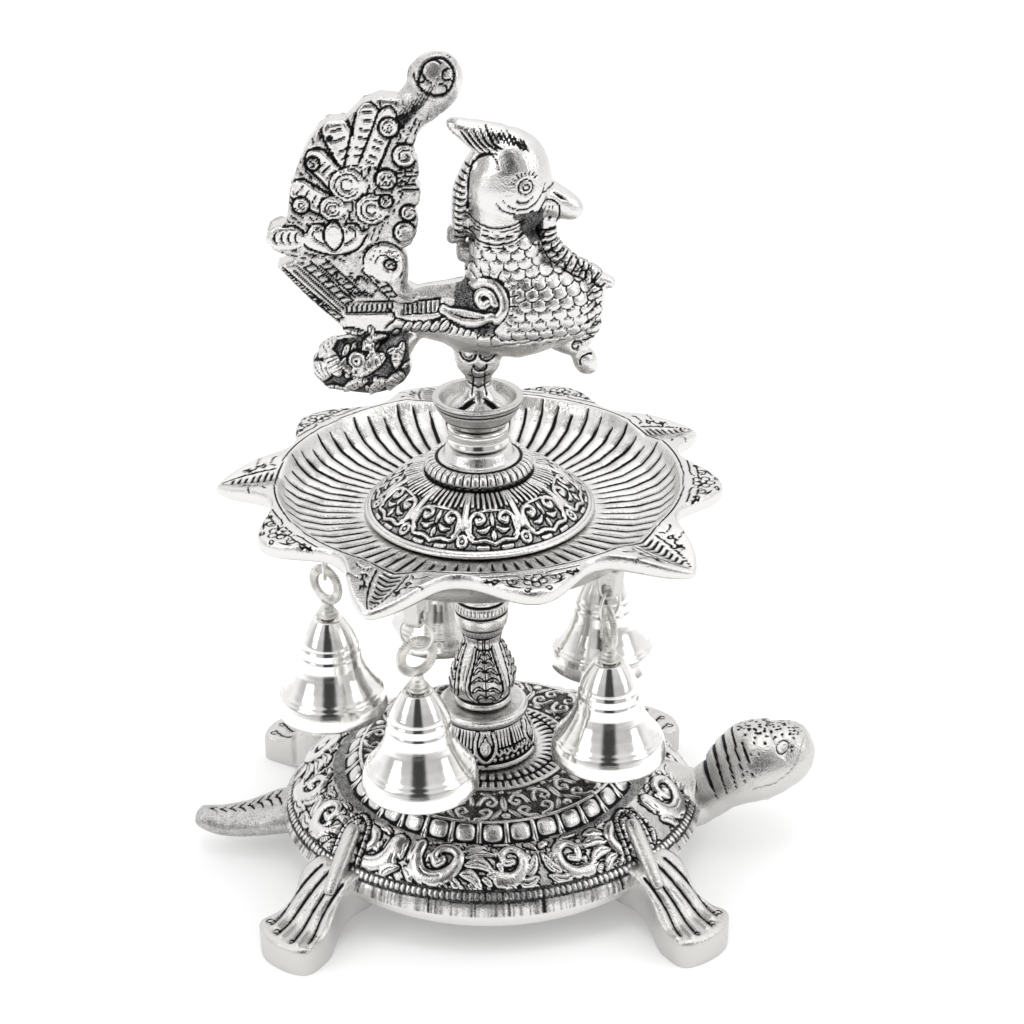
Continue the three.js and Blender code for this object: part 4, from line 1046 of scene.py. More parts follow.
@dataclass
class Tray:
    """The five-wick tray: a grooved bowl, five lips with a wick channel, five petals between, five lugs below."""

    rim_h: float = 18.5
    floor_h: float = 8.0
    bowl_r: float = 58.4
    floor_r: float = 36.0
    lip_r: float = 78.0
    petal_r: float = 71.0
    valley_r: float = 61.0
    lips: int = 5
    lip_turn: float = 30.8
    lip_drop: float = 3.4
    petal_drop: float = 0.8
    edge: float = 5.0
    channel: float = 2.6
    channel_half: float = 9.0
    hang_r: float = 46.1
    bore_r: float = 3.3
    stem_r: float = 10.5
    lip_shape: tuple = ((0, 1), (0.14, 0.883), (0.28, 0.731), (0.42, 0.532), (0.56, 0.316), (0.7, 0.135),
                        (0.83, 0.035), (1, 0))
    petal_shape: tuple = ((0, 1), (0.17, 0.912), (0.33, 0.725), (0.5, 0.473), (0.67, 0.231), (0.83, 0.066), (1, 0))
    lug_half: float = 3.2
    lug_thick: float = 4.2
    lug_hole_r: float = 1.7
    lug_drop: float = 4.2
    lug_turns: tuple[float, ...] = (3.9, 3.9, 3.9, -0.4, 3.9)

    def edge_at(self, angles: np.ndarray) -> tuple[np.ndarray, np.ndarray, np.ndarray]:
        """Returns the outline's radius, its dip and the channel's depth, at angles from a lip in radians."""
        pitch = 360 / self.lips
        off = np.abs((np.degrees(angles) + pitch / 2) % pitch - pitch / 2)
        lip = off < pitch / 4
        away = np.where(lip, off, pitch / 2 - off) / (pitch / 4)
        out = np.where(lip, np.interp(away, *np.transpose(self.lip_shape)),
                       np.interp(away, *np.transpose(self.petal_shape)))
        n = len(angles)
        gap = np.minimum(np.arange(n), n - np.arange(n))
        kernel = np.exp(-0.5 * (gap / (n / 360 * 0.9)) ** 2)
        out = np.real(np.fft.ifft(np.fft.fft(out) * np.fft.fft(kernel / kernel.sum())))
        tip = np.where(lip, self.lip_r, self.petal_r)
        drop = np.where(lip, self.lip_drop, self.petal_drop) * np.clip(out, 0, 1) ** 1.5
        return self.valley_r + (tip - self.valley_r) * out, drop, np.clip(1 - off / self.channel_half, 0, 1)

    def corners_at(self, angles: np.ndarray) -> np.ndarray:
        """Returns the section's corners at each angle."""
        r, drop, groove = self.edge_at(angles)
        cut = self.channel * groove
        rim, floor, bowl = self.rim_h, self.floor_h, self.bowl_r
        wall = bowl - self.floor_r
        rows = [
            (self.bore_r, floor), (self.floor_r, floor), (self.floor_r + 0.45 * wall, floor + 0.8),
            (self.floor_r + 0.75 * wall, floor + 3.2), (self.floor_r + 0.92 * wall, floor + 6.8 - 0.3 * cut),
            (bowl, rim - 0.8 * cut), (bowl + 0.5 * (r - bowl), rim - 0.35 * drop - cut),
            (r - 0.8, rim - 0.9 * drop - 0.7 * cut), (r, rim - drop - 1.2 - 0.5 * cut),
            (r, rim - drop - 0.8 * self.edge),
            (r - 1.4, rim - drop - self.edge), (bowl - 2.4, rim - self.edge - 2), (bowl - 7, floor - 2.6),
            (self.hang_r, 1), (self.stem_r + 2, 0), (self.bore_r, 0),
        ]
        return np.stack([np.stack([np.broadcast_to(a, r.shape), np.broadcast_to(b, r.shape)], 1) for a, b in rows], 1)

    def build(self, place: Place) -> None:
        """Builds and dresses the tray and its lugs."""
        mean = self.corners_at(np.linspace(0, TAU, 90, endpoint=False)).mean(0)
        spacing = [4, 0.6, 0.5, 0.45, 0.42, 0.42, 0.42, 0.4, 0.6, 0.6, 1.2, 1.8, 1.8, 3, 4, 3]
        body = lathe(Outline(mean, spacing, 1.4), 820, self.corners_at)
        points = body.points
        relief = Relief(polar_fold(points, 0, 360 / self.lips), ground=0.95)
        self.draw(relief, points)
        top = np.flatnonzero(body.normals[:, 2] > 0.25)
        kept = Relief(relief.points[top])
        kept.height, kept.bright = relief.height[top], relief.bright[top]
        body.dress(kept, top)
        body.turn(self.lip_turn).move((place.axis.x, place.axis.y, self.stand_z()))
        body.finish("tray_cast", "stand", Finish.RELIEF, "tray_casting", ["tray"])
        for i, turn in enumerate(self.lug_turns):
            self.lug(i + 1, self.lip_turn + 360 / self.lips * i + turn, place)

    def stand_z(self) -> float:
        """Returns the height of the tray's underside, in mm."""
        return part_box("tray")[1].z / MM - self.rim_h

    def lug(self, number: int, direction: float, place: Place) -> None:
        """Builds one cast lug with its hole."""
        bm = bmesh.new()
        rim = [(self.lug_half * math.cos(a), self.lug_half * math.sin(a)) for a in np.linspace(-math.pi, 0, 15)]
        rim += [(self.lug_half + 0.6, self.lug_drop + 2.6), (-self.lug_half - 0.6, self.lug_drop + 2.6)]
        hole = [(self.lug_hole_r * math.cos(a), self.lug_hole_r * math.sin(a)) for a in np.linspace(0, TAU, 25)[:-1]]
        loops = []
        for line in (rim, hole):
            verts = [bm.verts.new((x, -self.lug_thick / 2, z)) for x, z in line]
            loops += [bm.edges.new((a, b)) for a, b in zip(verts, verts[1:] + verts[:1])]
        bmesh.ops.triangle_fill(bm, edges=loops, use_beauty=True)
        made = bmesh.ops.extrude_face_region(bm, geom=bm.faces[:])
        moved = [v for v in made["geom"] if isinstance(v, bmesh.types.BMVert)]
        bmesh.ops.translate(bm, vec=(0, self.lug_thick, 0), verts=moved)
        body = as_body(bm).move((self.hang_r, 0, -self.lug_drop)).remesh(0.4).soften(3)
        body.turn(direction).move((place.axis.x, place.axis.y, self.stand_z()))
        body.finish(f"tray_lug_{number}", "stand", Finish.SMOOTH, "tray_casting")

    def draw(self, relief: Relief, points: np.ndarray) -> None:
        """Draws the bowl's grooves, one lip with its channel and half a petal to each side."""
        r = np.hypot(points[:, 0], points[:, 1])
        angle = np.degrees(np.arctan2(points[:, 1], points[:, 0]))
        pitch = 360 / 70
        number = np.floor(angle / pitch).astype(int)
        wave = np.sin(number * 12.9898) * 43758.5453
        start = 34.4 + 2.0 * (wave - np.floor(wave))
        stop = 57.4 + 0.8 * np.sin(number * 2.1)
        away = np.radians(angle % pitch - pitch / 2) * r
        ends = np.clip((r - start) / 2.5, 0, 1) * np.clip((stop - r) / 3, 0, 1)
        relief.groove(np.where((ends > 0), away / np.maximum(0.45 + 0.55 * ends, 0.1), FAR), 0.62, 0.45)
        flutes = 0.25 * np.cos(np.radians(angle % pitch - pitch / 2) * 360 / pitch)
        relief.height += np.where((r > 37) & (r < 57), flutes, 0) * -ends
        seed = np.random.default_rng(17)
        stain = np.zeros(len(r))
        for turn, out, size in zip(seed.uniform(0, TAU, 90), seed.uniform(36, 59, 90), seed.uniform(2, 6, 90)):
            away = np.hypot(points[:, 0] - out * math.cos(turn), points[:, 1] - out * math.sin(turn)) / size
            stain = np.maximum(stain, 1 - away)
        relief.bright[r < 59] -= 0.15 + 0.22 * stain[r < 59]
        relief.groove(r - 59.3, 0.36, 0.25, 0.9)
        outer, _, _ = self.edge_at(np.radians(angle))
        inside = outer - r
        relief.groove(np.where(r > 60, inside - 2.0, FAR), 0.36, 0.25, 0.95)
        self.draw_lip(relief)
        for turn in (-36, 36):
            self.draw_petal(relief, turn)

    def draw_lip(self, relief: Relief) -> None:
        """Draws the dark stripes across a lip's channel and the vines beside it."""
        for k in range(7):
            y = 60.6 + 2.0 * k
            half = 3.5 * (1 - 0.095 * k)
            relief.cut(curve([(-half, y), (0, y + 0.5), (half, y)], 8), swell(0.66, 0.4), 0.6)

        def side(s: float) -> None:
            """Draws one side of the lip."""
            relief.cut(curve([(s * 4.6, 60.4), (s * 3.9, 66), (s * 2.4, 71.5), (s * 0.6, 75.6)], 14), 0.42, 0.4)
            relief.cut(curve([(s * 6.2, 60.8), (s * 7.0, 62.2), (s * 9.4, 62.0), (s * 10.6, 60.9)], 10), 0.36, 0.35)
            for x, y, size in ((6.4, 64.2, 1.15), (5.0, 68.2, 0.95)):
                relief.cut(spiral((s * x, y), size, 0.4, 90 - s * 90, s * 1.0), 0.36, 0.35)
                relief.cut(curve([(s * (x - 0.6), y + 1.6), (s * (x + 0.5), y + 1.9)], 6), swell(0.5, 0.4), 0.35)

        mirrored(side)

    def draw_petal(self, relief: Relief, turn: float) -> None:
        """Draws a petal's rosette in its oval and the scrolls beside it, turned to a direction."""
        def put(path: Sequence[Sequence[float]], width: float | np.ndarray = 0.36, depth: float = 0.35) -> None:
            """Cuts a line turned to the petal's direction."""
            relief.cut(turned(np.asarray(path, float), -turn), width, depth)

        centre = (0.0, 64.8)
        for k in range(5):
            a = math.radians(90 + 72 * k)
            put(ring((centre[0] + 2.15 * math.cos(a), centre[1] + 2.05 * math.sin(a)), 1.25), 0.34)
        relief.bead(turned(np.array([centre]), -turn)[0], 0.8, 0.5)

        def side(s: float) -> None:
            """Draws the scrolls on one side of the petal."""
            put(curve([(s * 3.6, 62.2), (s * 5.6, 61.1), (s * 9.0, 60.9), (s * 13.5, 60.2)], 14))
            put(spiral((s * 6.4, 64.2), 1.8, 0.6, 90 + s * 90, -s * 1.1))
            put(spiral((s * 10.2, 62.8), 1.3, 0.5, 90 - s * 90, s * 1.0))
            put(spiral((s * 2.9, 68.7), 0.9, 0.5, 90 - s * 90, s * 0.9))
            put(curve([(s * 4.4, 67.4), (s * 6.0, 66.8), (s * 8.0, 65.6)], 8), swell(0.5, 0.4))
            put(curve([(s * 12.2, 61.4), (s * 13.0, 62.0), (s * 14.2, 61.4)], 8), swell(0.5, 0.4))

        mirrored(side)


# Tortoise

@dataclass
class Tortoise:
    """The tortoise under the lamp: shell, feet with their ridges, head and tail."""

    half_width: float = 58.5
    half_length: float = 64.5
    top_r: float = 40.5
    seat_z: float = 36.0
    wall: float = 4.5
    edge_z: float = 17.0
    skirt: float = 7.5
    skirt_rise: float = 5.5
    shift: float = 2.2
    bore_r: float = 3.3
    foot_h: float = 9.0
    foot_past_end: float = 1.5
    foot_past_side: float = 7.5
    far_feet_back: float = 6.0
    ridge_from_end: float = 24.0
    ridge_from_side: float = 27.0
    ridge_r: float = 2.6
    ridge_slant: float = 2.2
    steps: int = 690

    def build(self, place: Place) -> None:
        """Builds and dresses the whole tortoise."""
        at = (place.axis.x + self.shift, place.axis.y, 0.0)
        self.shell(at)
        for name, sx, sy in (("near_right", 1, -1), ("near_left", -1, -1), ("far_right", 1, 1), ("far_left", -1, 1)):
            self.foot(name, sx, sy, at)
            self.ridge(name, sx, sy, at)
        self.head(at)
        self.tail(at)

    def corners_at(self, angles: np.ndarray) -> np.ndarray:
        """Returns the shell section's corners at each angle."""
        edge, span, under = self.half_width, self.half_width - self.top_r, self.seat_z - self.wall
        stretch, drop = self.half_length / self.half_width - 1, self.seat_z - 1.5 - self.edge_z
        ez, sk = self.edge_z, self.skirt
        slope = ((0, 1), (0.19, 0.77), (0.53, 0.6), (0.81, 0.31), (1, 0))
        rows = [(self.bore_r, self.seat_z), (19.5, self.seat_z), (24.5, self.seat_z - 0.8)]
        rows += [(self.top_r + a * span, ez + b * drop) for a, b in slope]
        rows += [(edge + 0.6, ez - 0.45 * sk), (edge, ez - sk), (edge - 2.8, ez - sk), (edge - 3.8, ez - 1.5),
                 (self.top_r + 0.58 * span, ez + 0.26 * drop), (self.top_r + 0.2 * span, ez + 0.5 * drop),
                 (self.top_r - 3, under - 2), (self.top_r - 16, under), (self.bore_r, under)]
        p = np.array(rows, float)
        out = np.clip((p[:, 0] - self.top_r) / span, 0, 1)
        low = np.clip((ez - p[:, 1]) / sk, 0, 1)
        c, s = np.cos(angles)[:, None], np.sin(angles)[:, None]
        r = np.hypot(p[:, 0] * c * (1 + stretch * out), p[:, 0] * s)
        return np.stack([r, p[:, 1] + self.skirt_rise * low * c**2], 2)

    def shell(self, at: Sequence[float]) -> None:
        """Builds the shell with its rings of ornament, its scutes and its scrolled slope."""
        mean = self.corners_at(np.linspace(0, TAU, 60, endpoint=False)).mean(0)
        spacing = [3, 0.6, 0.45, 0.45, 0.42, 0.42, 0.42, 0.42, 0.6, 1.2, 2, 3, 3, 4, 5, 5, 4]
        body = lathe(Outline(mean, spacing, 1.5), self.steps, self.corners_at)
        points = body.points
        top = np.flatnonzero((body.normals[:, 2] > 0.05) & (points[:, 2] > 9))
        kept = points[top]
        relief = Relief(kept[:, :2], ground=0.42)
        self.draw_slope(relief, kept)
        self.draw_rings(relief, kept)
        self.draw_ridge_borders(relief)
        self.draw_edge(relief, kept)
        body.dress(relief, top).move(at)
        body.finish("tortoise_shell", "stand", Finish.RELIEF, "turtle_casting", ["turtle_base"])

    def draw_rings(self, relief: Relief, points: np.ndarray) -> None:
        """Draws the flutes, the ring of scrolls and the scutes round the top."""
        r = np.hypot(points[:, 0], points[:, 1])
        angle = np.degrees(np.arctan2(points[:, 1], points[:, 0]))
        inner = r < 40.6
        relief.height[inner] = 0
        relief.bright[inner] = 0.3
        relief.plain(r < 16.8, 0.7)
        for low, high, count in ((17.0, 20.4, 46), (21.2, 23.4, 62)):
            pitch = 360 / count
            away = np.radians(angle % pitch - pitch / 2) * r
            relief.band(np.where((r > low) & (r < high), away, FAR), 0.92 if count < 50 else 0.78, 0.5)
        relief.groove(r - 20.8, 0.4, 0.3)
        folded = polar_fold(points, FRONT + 6, 30)
        zone = np.flatnonzero((r > 23.5) & (r < 40.8))
        part = Relief(folded[zone], ground=0.3)

        def side(s: float) -> None:
            """Draws one scroll of the pair with its leaves."""
            part.curl(curve([(s * 7.4, 31.4), (s * 5.6, 28.4), (s * 2.9, 28.4), (s * 2.1, 31.0), (s * 3.7, 32.6),
                             (s * 4.8, 31.2), (s * 3.8, 30.4)], 24), 0.75, 0.7)
            part.curl(curve([(s * 9.0, 38.2), (s * 6.4, 37.9), (s * 4.2, 35.6), (s * 5.4, 33.9), (s * 7.2, 34.8),
                             (s * 6.4, 36.2)], 22), 0.7, 0.6)
            part.leaf(curve([(s * 1.0, 34.6), (s * 2.4, 36.6), (s * 4.6, 38.9)], 10), 0.8, 0.6)
            part.leaf(curve([(s * 6.6, 25.2), (s * 4.6, 26.4), (s * 1.8, 26.6)], 10), 0.7, 0.5)

        mirrored(side)
        part.bead((0, 37.8), 1.5, 0.7)
        part.leaf(np.array([(0.0, 28.2), (0.0, 35.2)]), 1.1, 0.7)
        part.bead((0, 26.0), 0.8, 0.5)
        relief.height[zone] = np.maximum(relief.height[zone], part.height)
        relief.bright[zone] = np.maximum(relief.bright[zone], part.bright)
        relief.band(r - 24.1, 0.5, 0.35)
        scutes = polar_fold(points, FRONT, 360 / 33)
        across, out = np.abs(scutes[:, 0]), np.abs(r - 42.6)
        relief.height[(r > 40.4) & (r < 45.0)] *= 0.3
        relief.bright[(r > 40.4) & (r < 45.0)] = 0.08
        ids = np.flatnonzero(np.maximum(across / 3.55, out / 2.5) < 1)
        body = (np.clip(across[ids] / 3.0, 0, 2) ** 3 + np.clip(out[ids] / 1.9, 0, 2) ** 3) ** (1 / 3)
        relief.height[ids] = np.where(body < 1, 0.8 * (1 - body**4), 0)
        relief.bright[ids] = np.where(body < 1, np.clip((1 - body) / 0.2, 0, 1), 0.05)
        relief.band(np.where((r > 40.5) & (r < 44.9), across - 3.72, FAR), 0.34, 0.55)
        relief.band(r - 40.3, 0.4, 0.4)

    def draw_edge(self, relief: Relief, points: np.ndarray) -> None:
        """Draws the worn beaded line along the shell's edge and the streaked, notched skirt under it."""
        oval = np.hypot(points[:, 0] * self.half_width / self.half_length, points[:, 1])
        angle = np.degrees(np.arctan2(points[:, 1], points[:, 0]))
        skirt = (oval > self.half_width - 0.6)
        seed = np.random.default_rng(23)
        streaks = np.interp(angle % 360, np.linspace(0, 360, 1201), seed.uniform(0.34, 0.86, 1201))
        relief.height[skirt] = (streaks[skirt] - 0.8) * 0.16
        relief.bright[skirt] = streaks[skirt]
        out = oval - (self.half_width - 1.7)
        line = np.abs(out) < 1.1
        relief.height[line] = 0
        relief.bright[line] = 0.3
        pitch = 360 / 210
        away = np.radians(angle % pitch - pitch / 2) * oval
        bead = np.hypot(away / 0.7, out / 0.75)
        ids = np.flatnonzero(bead < 1)
        worn = 0.35 + 0.65 * np.cos(np.radians(angle[ids])) ** 2
        relief.height[ids] = 0.55 * np.sqrt(1 - bead[ids] ** 2) * worn
        relief.bright[ids] = np.clip((1 - bead[ids]) / 0.45, 0.3, 1)
        for turn, reach in zip(seed.uniform(0, 360, 34), seed.uniform(0.25, 0.7, 34)):
            gap = np.abs((angle - turn + 180) % 360 - 180) * oval * math.radians(1)
            notch = (gap < reach) & (out > 0.4)
            relief.height[notch] -= 0.45 * (1 - gap[notch] / reach)
            relief.bright[notch] = np.minimum(relief.bright[notch], gap[notch] / reach)

    def draw_slope(self, relief: Relief, points: np.ndarray) -> None:
        """Draws the scrolls and leaves round the slope: eight panels, every second one turned over."""
        oval = np.hypot(points[:, 0] * self.half_width / self.half_length, points[:, 1])
        out = (oval - 44.9) * 13 / 11.6
        zone = np.flatnonzero((out > -0.6) & (out < 13.4))
        angle = np.degrees(np.arctan2(points[zone, 1], points[zone, 0])) - FRONT + 7
        number = np.round(angle / 45)
        across = np.radians(angle - 45 * number) * 51 * np.where(number % 2, -1, 1)
        turn = np.radians(angle)
        across += 1.5 * np.sin(3 * turn + 0.7) + 0.9 * np.sin(7 * turn + 2 + out[zone] * 0.12)
        rise = out[zone] + 0.7 * np.sin(5 * turn + 1) * np.sin(np.clip(out[zone] / 13, 0, 1) * math.pi)
        part = Relief(np.stack([across, rise], 1), ground=0.6)
        self.draw_panel(part)
        relief.height[zone] = part.height
        relief.bright[zone] = part.bright

    @staticmethod
    def draw_panel(part: Relief) -> None:
        """Draws one panel of the slope: a large C-scroll, a fan of leaves, a second curl and small sprays."""
        part.bar(curve([(-17.4, 2.6), (-16.6, 6.6), (-13.4, 9.9), (-8.6, 10.4), (-4.2, 8.4), (-2.6, 4.9), (-5.4, 2.4),
                        (-9.4, 2.6), (-10.9, 4.8), (-9.6, 6.8), (-7.6, 6.2)], 60), taper(2.4, 1.1, 5), 1.3)
        part.bead((-7.8, 5.8), 1.2, 1.0)
        part.cut(curve([(-16.2, 4.6), (-14.6, 8.2), (-11.4, 9.9), (-7.6, 9.7)], 20), 0.3, 0.3, 0.7)
        for x0, y0, x1, y1, x2, y2, w in (
            (-1.4, 3.4, 1.4, 1.6, 5.4, 1.7, 1.1), (-0.6, 5.4, 3.0, 3.8, 7.8, 4.6, 1.3),
            (-0.8, 7.4, 3.2, 6.8, 7.0, 8.8, 1.3),
            (-2.0, 9.4, 0.8, 9.6, 3.6, 12.2, 1.2), (-4.4, 10.6, -3.2, 11.4, -1.6, 12.8, 0.9),
            (5.2, 9.6, 8.0, 9.8, 10.6, 12.2, 1.1),
            (16.4, 9.6, 18.4, 8.0, 19.8, 4.6, 1.2), (13.8, 11.0, 16.6, 11.4, 19.8, 10.2, 1.1),
            (16.6, 1.4, 18.6, 1.6, 20.0, 3.0, 0.9),
            (-19.8, 1.2, -19.2, 4.0, -19.6, 7.0, 1.1), (-19.8, 9.0, -17.4, 10.0, -15.6, 12.6, 1.2),
            (-12.8, 11.6, -11.0, 12.0, -9.0, 12.8, 0.8),
            (-14.6, 1.6, -12.0, 0.4, -9.0, 0.6, 0.7), (-5.4, 0.6, -2.8, 0.2, -0.6, 1.2, 0.7),
            (6.6, 0.6, 9.6, 0.4, 12.6, 1.0, 0.7),
        ):
            part.leaf(curve([(x0, y0), (x1, y1), (x2, y2)], 14), w * 1.2, 1.0, 0.24)
        part.bar(curve([(8.2, 10.4), (12.6, 10.4), (15.6, 7.6), (15.2, 4.0), (12.2, 2.4), (9.8, 4.2), (10.4, 6.8),
                        (12.6, 6.6)], 44),
                 taper(1.8, 0.9, 5), 1.1)
        for x0, y0, x1, y1, w in ((-13.6, 3.4, -12.0, 6.6, 0.7), (-6.4, 11.6, -4.8, 12.9, 0.6),
                                  (3.6, 10.0, 6.4, 11.6, 0.8),
                                  (8.0, 6.4, 9.6, 9.2, 0.7), (10.8, 11.4, 13.4, 12.8, 0.7),
                                  (14.2, 0.8, 12.0, 2.0, 0.6),
                                  (17.0, 6.6, 18.0, 4.2, 0.7), (-18.0, 5.2, -17.2, 8.8, 0.8),
                                  (7.4, 5.6, 8.4, 2.2, 0.8),
                                  (-3.4, 2.0, -1.6, 0.6, 0.6), (0.2, 11.2, 1.8, 12.8, 0.6),
                                  (-8.6, 12.2, -6.8, 11.4, 0.5)):
            part.leaf(np.array([(x0, y0), (x1, y1)]), w, 0.8, 0.2)
        for x, y, r in ((9.0, 7.6, 0.7), (-18.2, 7.9, 0.7), (4.2, 6.0, 0.6), (17.4, 3.6, 0.6), (-12.8, 6.2, 0.6),
                        (7.6, 2.6, 0.6)):
            part.bead((x, y), r, 0.7)
        for k in range(12):
            part.bar(np.array([(-19.4 + 3.4 * k, 12.9), (-18.4 + 3.4 * k, 12.1)]), 0.4, 0.4)

    def draw_ridge_borders(self, relief: Relief) -> None:
        """Draws the corded double line round the root of each ridge."""
        for sx in (-1, 1):
            for sy in (-1, 1):
                start = np.array([(self.half_length - self.ridge_from_end) * sx,
                                  (self.half_width - self.ridge_from_side) * sy])
                ahead = np.array([sx, self.ridge_slant * sy]) / math.hypot(1, self.ridge_slant)
                side = np.array([-ahead[1], ahead[0]])
                for reach, cut in ((3.5, True), (4.5, False), (5.6, True)):
                    line = [start + ahead * 22 + side * reach, start + ahead * 10 + side * reach,
                            start + side * reach * 0.9,
                            start - ahead * reach * 0.9, start - side * reach * 0.9,
                            start + ahead * 10 - side * reach,
                            start + ahead * 22 - side * reach]
                    path = curve(line, 70)
                    ids, _ = relief.measure(path, 0.6)
                    relief.height[ids] = 0
                    if cut:
                        relief.cut(path, 0.5, 0.4)
                    else:
                        relief.bar(path, 0.6, 0.7)
                        across = np.gradient(path, axis=0)[:, ::-1] * (-1, 1)
                        across /= np.linalg.norm(across, axis=1)[:, None]
                        for i in range(0, 70, 2):
                            relief.cut(np.array([path[i] - across[i] * 0.8, path[i] + across[i] * 0.8]), 0.24, 0.4)

    def foot(self, name: str, sx: int, sy: int, at: Sequence[float]) -> None:
        """Builds one webbed foot, whose root rises into the shell."""
        end_x, end_y = self.half_length + self.foot_past_end, self.half_width + self.foot_past_side
        rim = np.array([(-30, -24), (-21.5, -15.5), (-17.5, -7), (-13, -0.8), (-9, 0), (-3.5, -3), (1, -7.5),
                        (2.8, -12.5),
                        (2.2, -16.5), (-6, -22), (-10, -30), (-22, -34)], float)
        body = slab(curve(np.vstack([rim, rim[:1]]), 60)[:-1], self.foot_h + 2, 1.4).move((0, 0, self.foot_h / 2 - 1))
        body.remesh(0.5).soften(2)
        p = body.points
        up = np.clip(p[:, 2] / self.foot_h, 0, 1)
        inward = -13.2 - p[:, 0] - p[:, 1]
        a, b = np.clip((inward - 4) / 30, 0, 1), np.clip((inward - 8) / 24, 0, 1)
        rise = (self.edge_z + 3 - self.foot_h) * a * a * (3 - 2 * a)
        lift = 8 * b * b * (3 - 2 * b)
        p[:, 2] += lift + (rise - lift) * up
        body.points = p
        top = np.flatnonzero(body.normals[:, 2] > 0.35)
        relief = Relief(p[top][:, :2], ground=0.82)
        for root, tip, width in (((-21.5, -18.5), (-12.2, -3.4), 0.7), ((-19.5, -21.5), (-7.4, -4.2), 0.75),
                                 ((-17.5, -24.5), (-2.6, -8.0), 0.75), ((-15.0, -27.5), (-0.8, -13.0), 0.7)):
            bend = ((root[0] + tip[0]) / 2 + 1.2, (root[1] + tip[1]) / 2 - 1.2)
            relief.cut(curve([root, bend, tip], 16), taper(width, width * 0.55), 0.8)
            relief.lift(curve([root, bend, tip], 16) + (-1.4, 1.2), 1.4, 0.5)
        for x, y in ((-12.6, -4.6), (-6.6, -3.6), (-1.6, -8.6), (0.6, -13.6)):
            relief.cut(spiral((x - 0.6, y - 0.6), 1.3, 0.4, 200, 0.8), 0.26, 0.3)
        relief.height[inward[top] > 20] *= 0.6
        body.dress(relief, top)
        if sx * sy < 0:
            body.mesh.flip_normals()
        q = body.points
        q[:, 0], q[:, 1] = sx * (q[:, 0] + end_x), sy * (q[:, 1] + end_y)
        q[:, 0] -= self.far_feet_back if sy > 0 else 0
        q[:, 2] = np.maximum(q[:, 2], 0)
        body.points = q
        face_out(body).move(at).finish(f"foot_{name}", "stand", Finish.SMOOTH, "turtle_casting")

    def ridge(self, name: str, sx: int, sy: int, at: Sequence[float]) -> None:
        """Builds the smooth bar that runs from the slope down to a foot."""
        x, y = self.half_length - self.ridge_from_end, self.half_width - self.ridge_from_side
        r = self.ridge_r
        top, end = 28.3, self.foot_h + 6.3
        fall = end - top
        bar = loft([(0, 0, 0, 0), (0.8, 0.03 * fall, 1.9, 1.9), (3.5, 0.12 * fall, r, r), (12, 0.58 * fall, r, r),
                    (18, 0.92 * fall, 1.9, 1.9), (19.5, fall, 0, 0)], 28, 60, 0.25)
        bar.turn(math.degrees(math.atan2(sy * self.ridge_slant, sx))).move((x * sx, y * sy, top)).move(at)
        bar.finish(f"leg_ridge_{name}", "stand", Finish.SMOOTH, "turtle_casting")

    def head(self, at: Sequence[float]) -> None:
        """Builds the neck and head, with wrinkles, a mouth line and a pitted brow."""
        f = self.half_length
        stations = [
            (f - 16, 20, 0, 0), (f - 14, 20, 8, 12), (f - 3.5, 15, 9, 10.5), (f + 1.5, 16, 8, 9),
            (f + 6.5, 20, 8, 10.2),
            (f + 11.5, 24.5, 10.8, 12.6), (f + 16.5, 27.8, 12.6, 13.4), (f + 22, 29.8, 11.8, 12.6),
            (f + 26.5, 31.8, 10.4, 11), (f + 30.4, 35.2, 7.4, 8), (f + 32.6, 37.2, 3.6, 4.4), (f + 33.4, 37.8, 0, 0),
        ]
        body = loft(stations, 150, 150)
        relief = Relief(self.around(body.points, stations), ground=0.8)
        for k, x in enumerate((2.2, 5.0, 7.8, 10.4, 12.8)):
            relief.cut(curve([(f + x + 2.5, -13), (f + x, -5), (f + x - 0.6, 0), (f + x, 5), (f + x + 2.5, 13)], 20),
                       swell(0.6 - 0.05 * k, 0.3), 0.5)
        for s in (-1.0, 1.0):
            relief.cut(curve([(f + 15, s * 15.5), (f + 22, s * 16.4), (f + 28, s * 15), (f + 32, s * 10)], 18), 0.3,
                       0.3, 0.55)
            relief.cut(spiral((f + 24.5, s * 8.0), 1.9, 1.9, 0, 1), 0.3, 0.3, 0.8)
        seed = np.random.default_rng(5)
        for x, v in zip(seed.uniform(f + 12, f + 31, 130), seed.normal(0, 4.4, 130)):
            relief.dot((x, v), 0.3 + 0.35 * abs(math.sin(x * 9)), 0.25)
        body.dress(relief).move(at).finish("tortoise_head", "stand", Finish.SMOOTH, "turtle_casting")

    def tail(self, at: Sequence[float]) -> None:
        """Builds the tail with its slanted slots."""
        b = -self.half_length
        stations = [
            (b + 10, 14.5, 0, 0), (b + 8.5, 14.3, 5.5, 10.5), (b - 1.5, 12.6, 5.6, 9.5), (b - 10.5, 10.4, 4.7, 7.6),
            (b - 19.5, 9.8, 4, 6.2), (b - 26, 11.3, 3.2, 4.2), (b - 28, 12, 0, 0),
        ]
        body = loft(stations, 120, 130)
        relief = Relief(self.around(body.points, stations), ground=0.6)
        for k in range(8):
            x = b - 2.2 - 2.9 * k
            reach = 6.4 - 0.45 * k
            relief.cut(curve([(x + 1.6, -reach), (x + 0.5, -1), (x - 0.4, 0.4), (x + 1.4, reach)], 12),
                       swell(0.68, 0.3), 0.6)
        body.dress(relief).move(at).finish("tortoise_tail", "stand", Finish.SMOOTH, "turtle_casting")

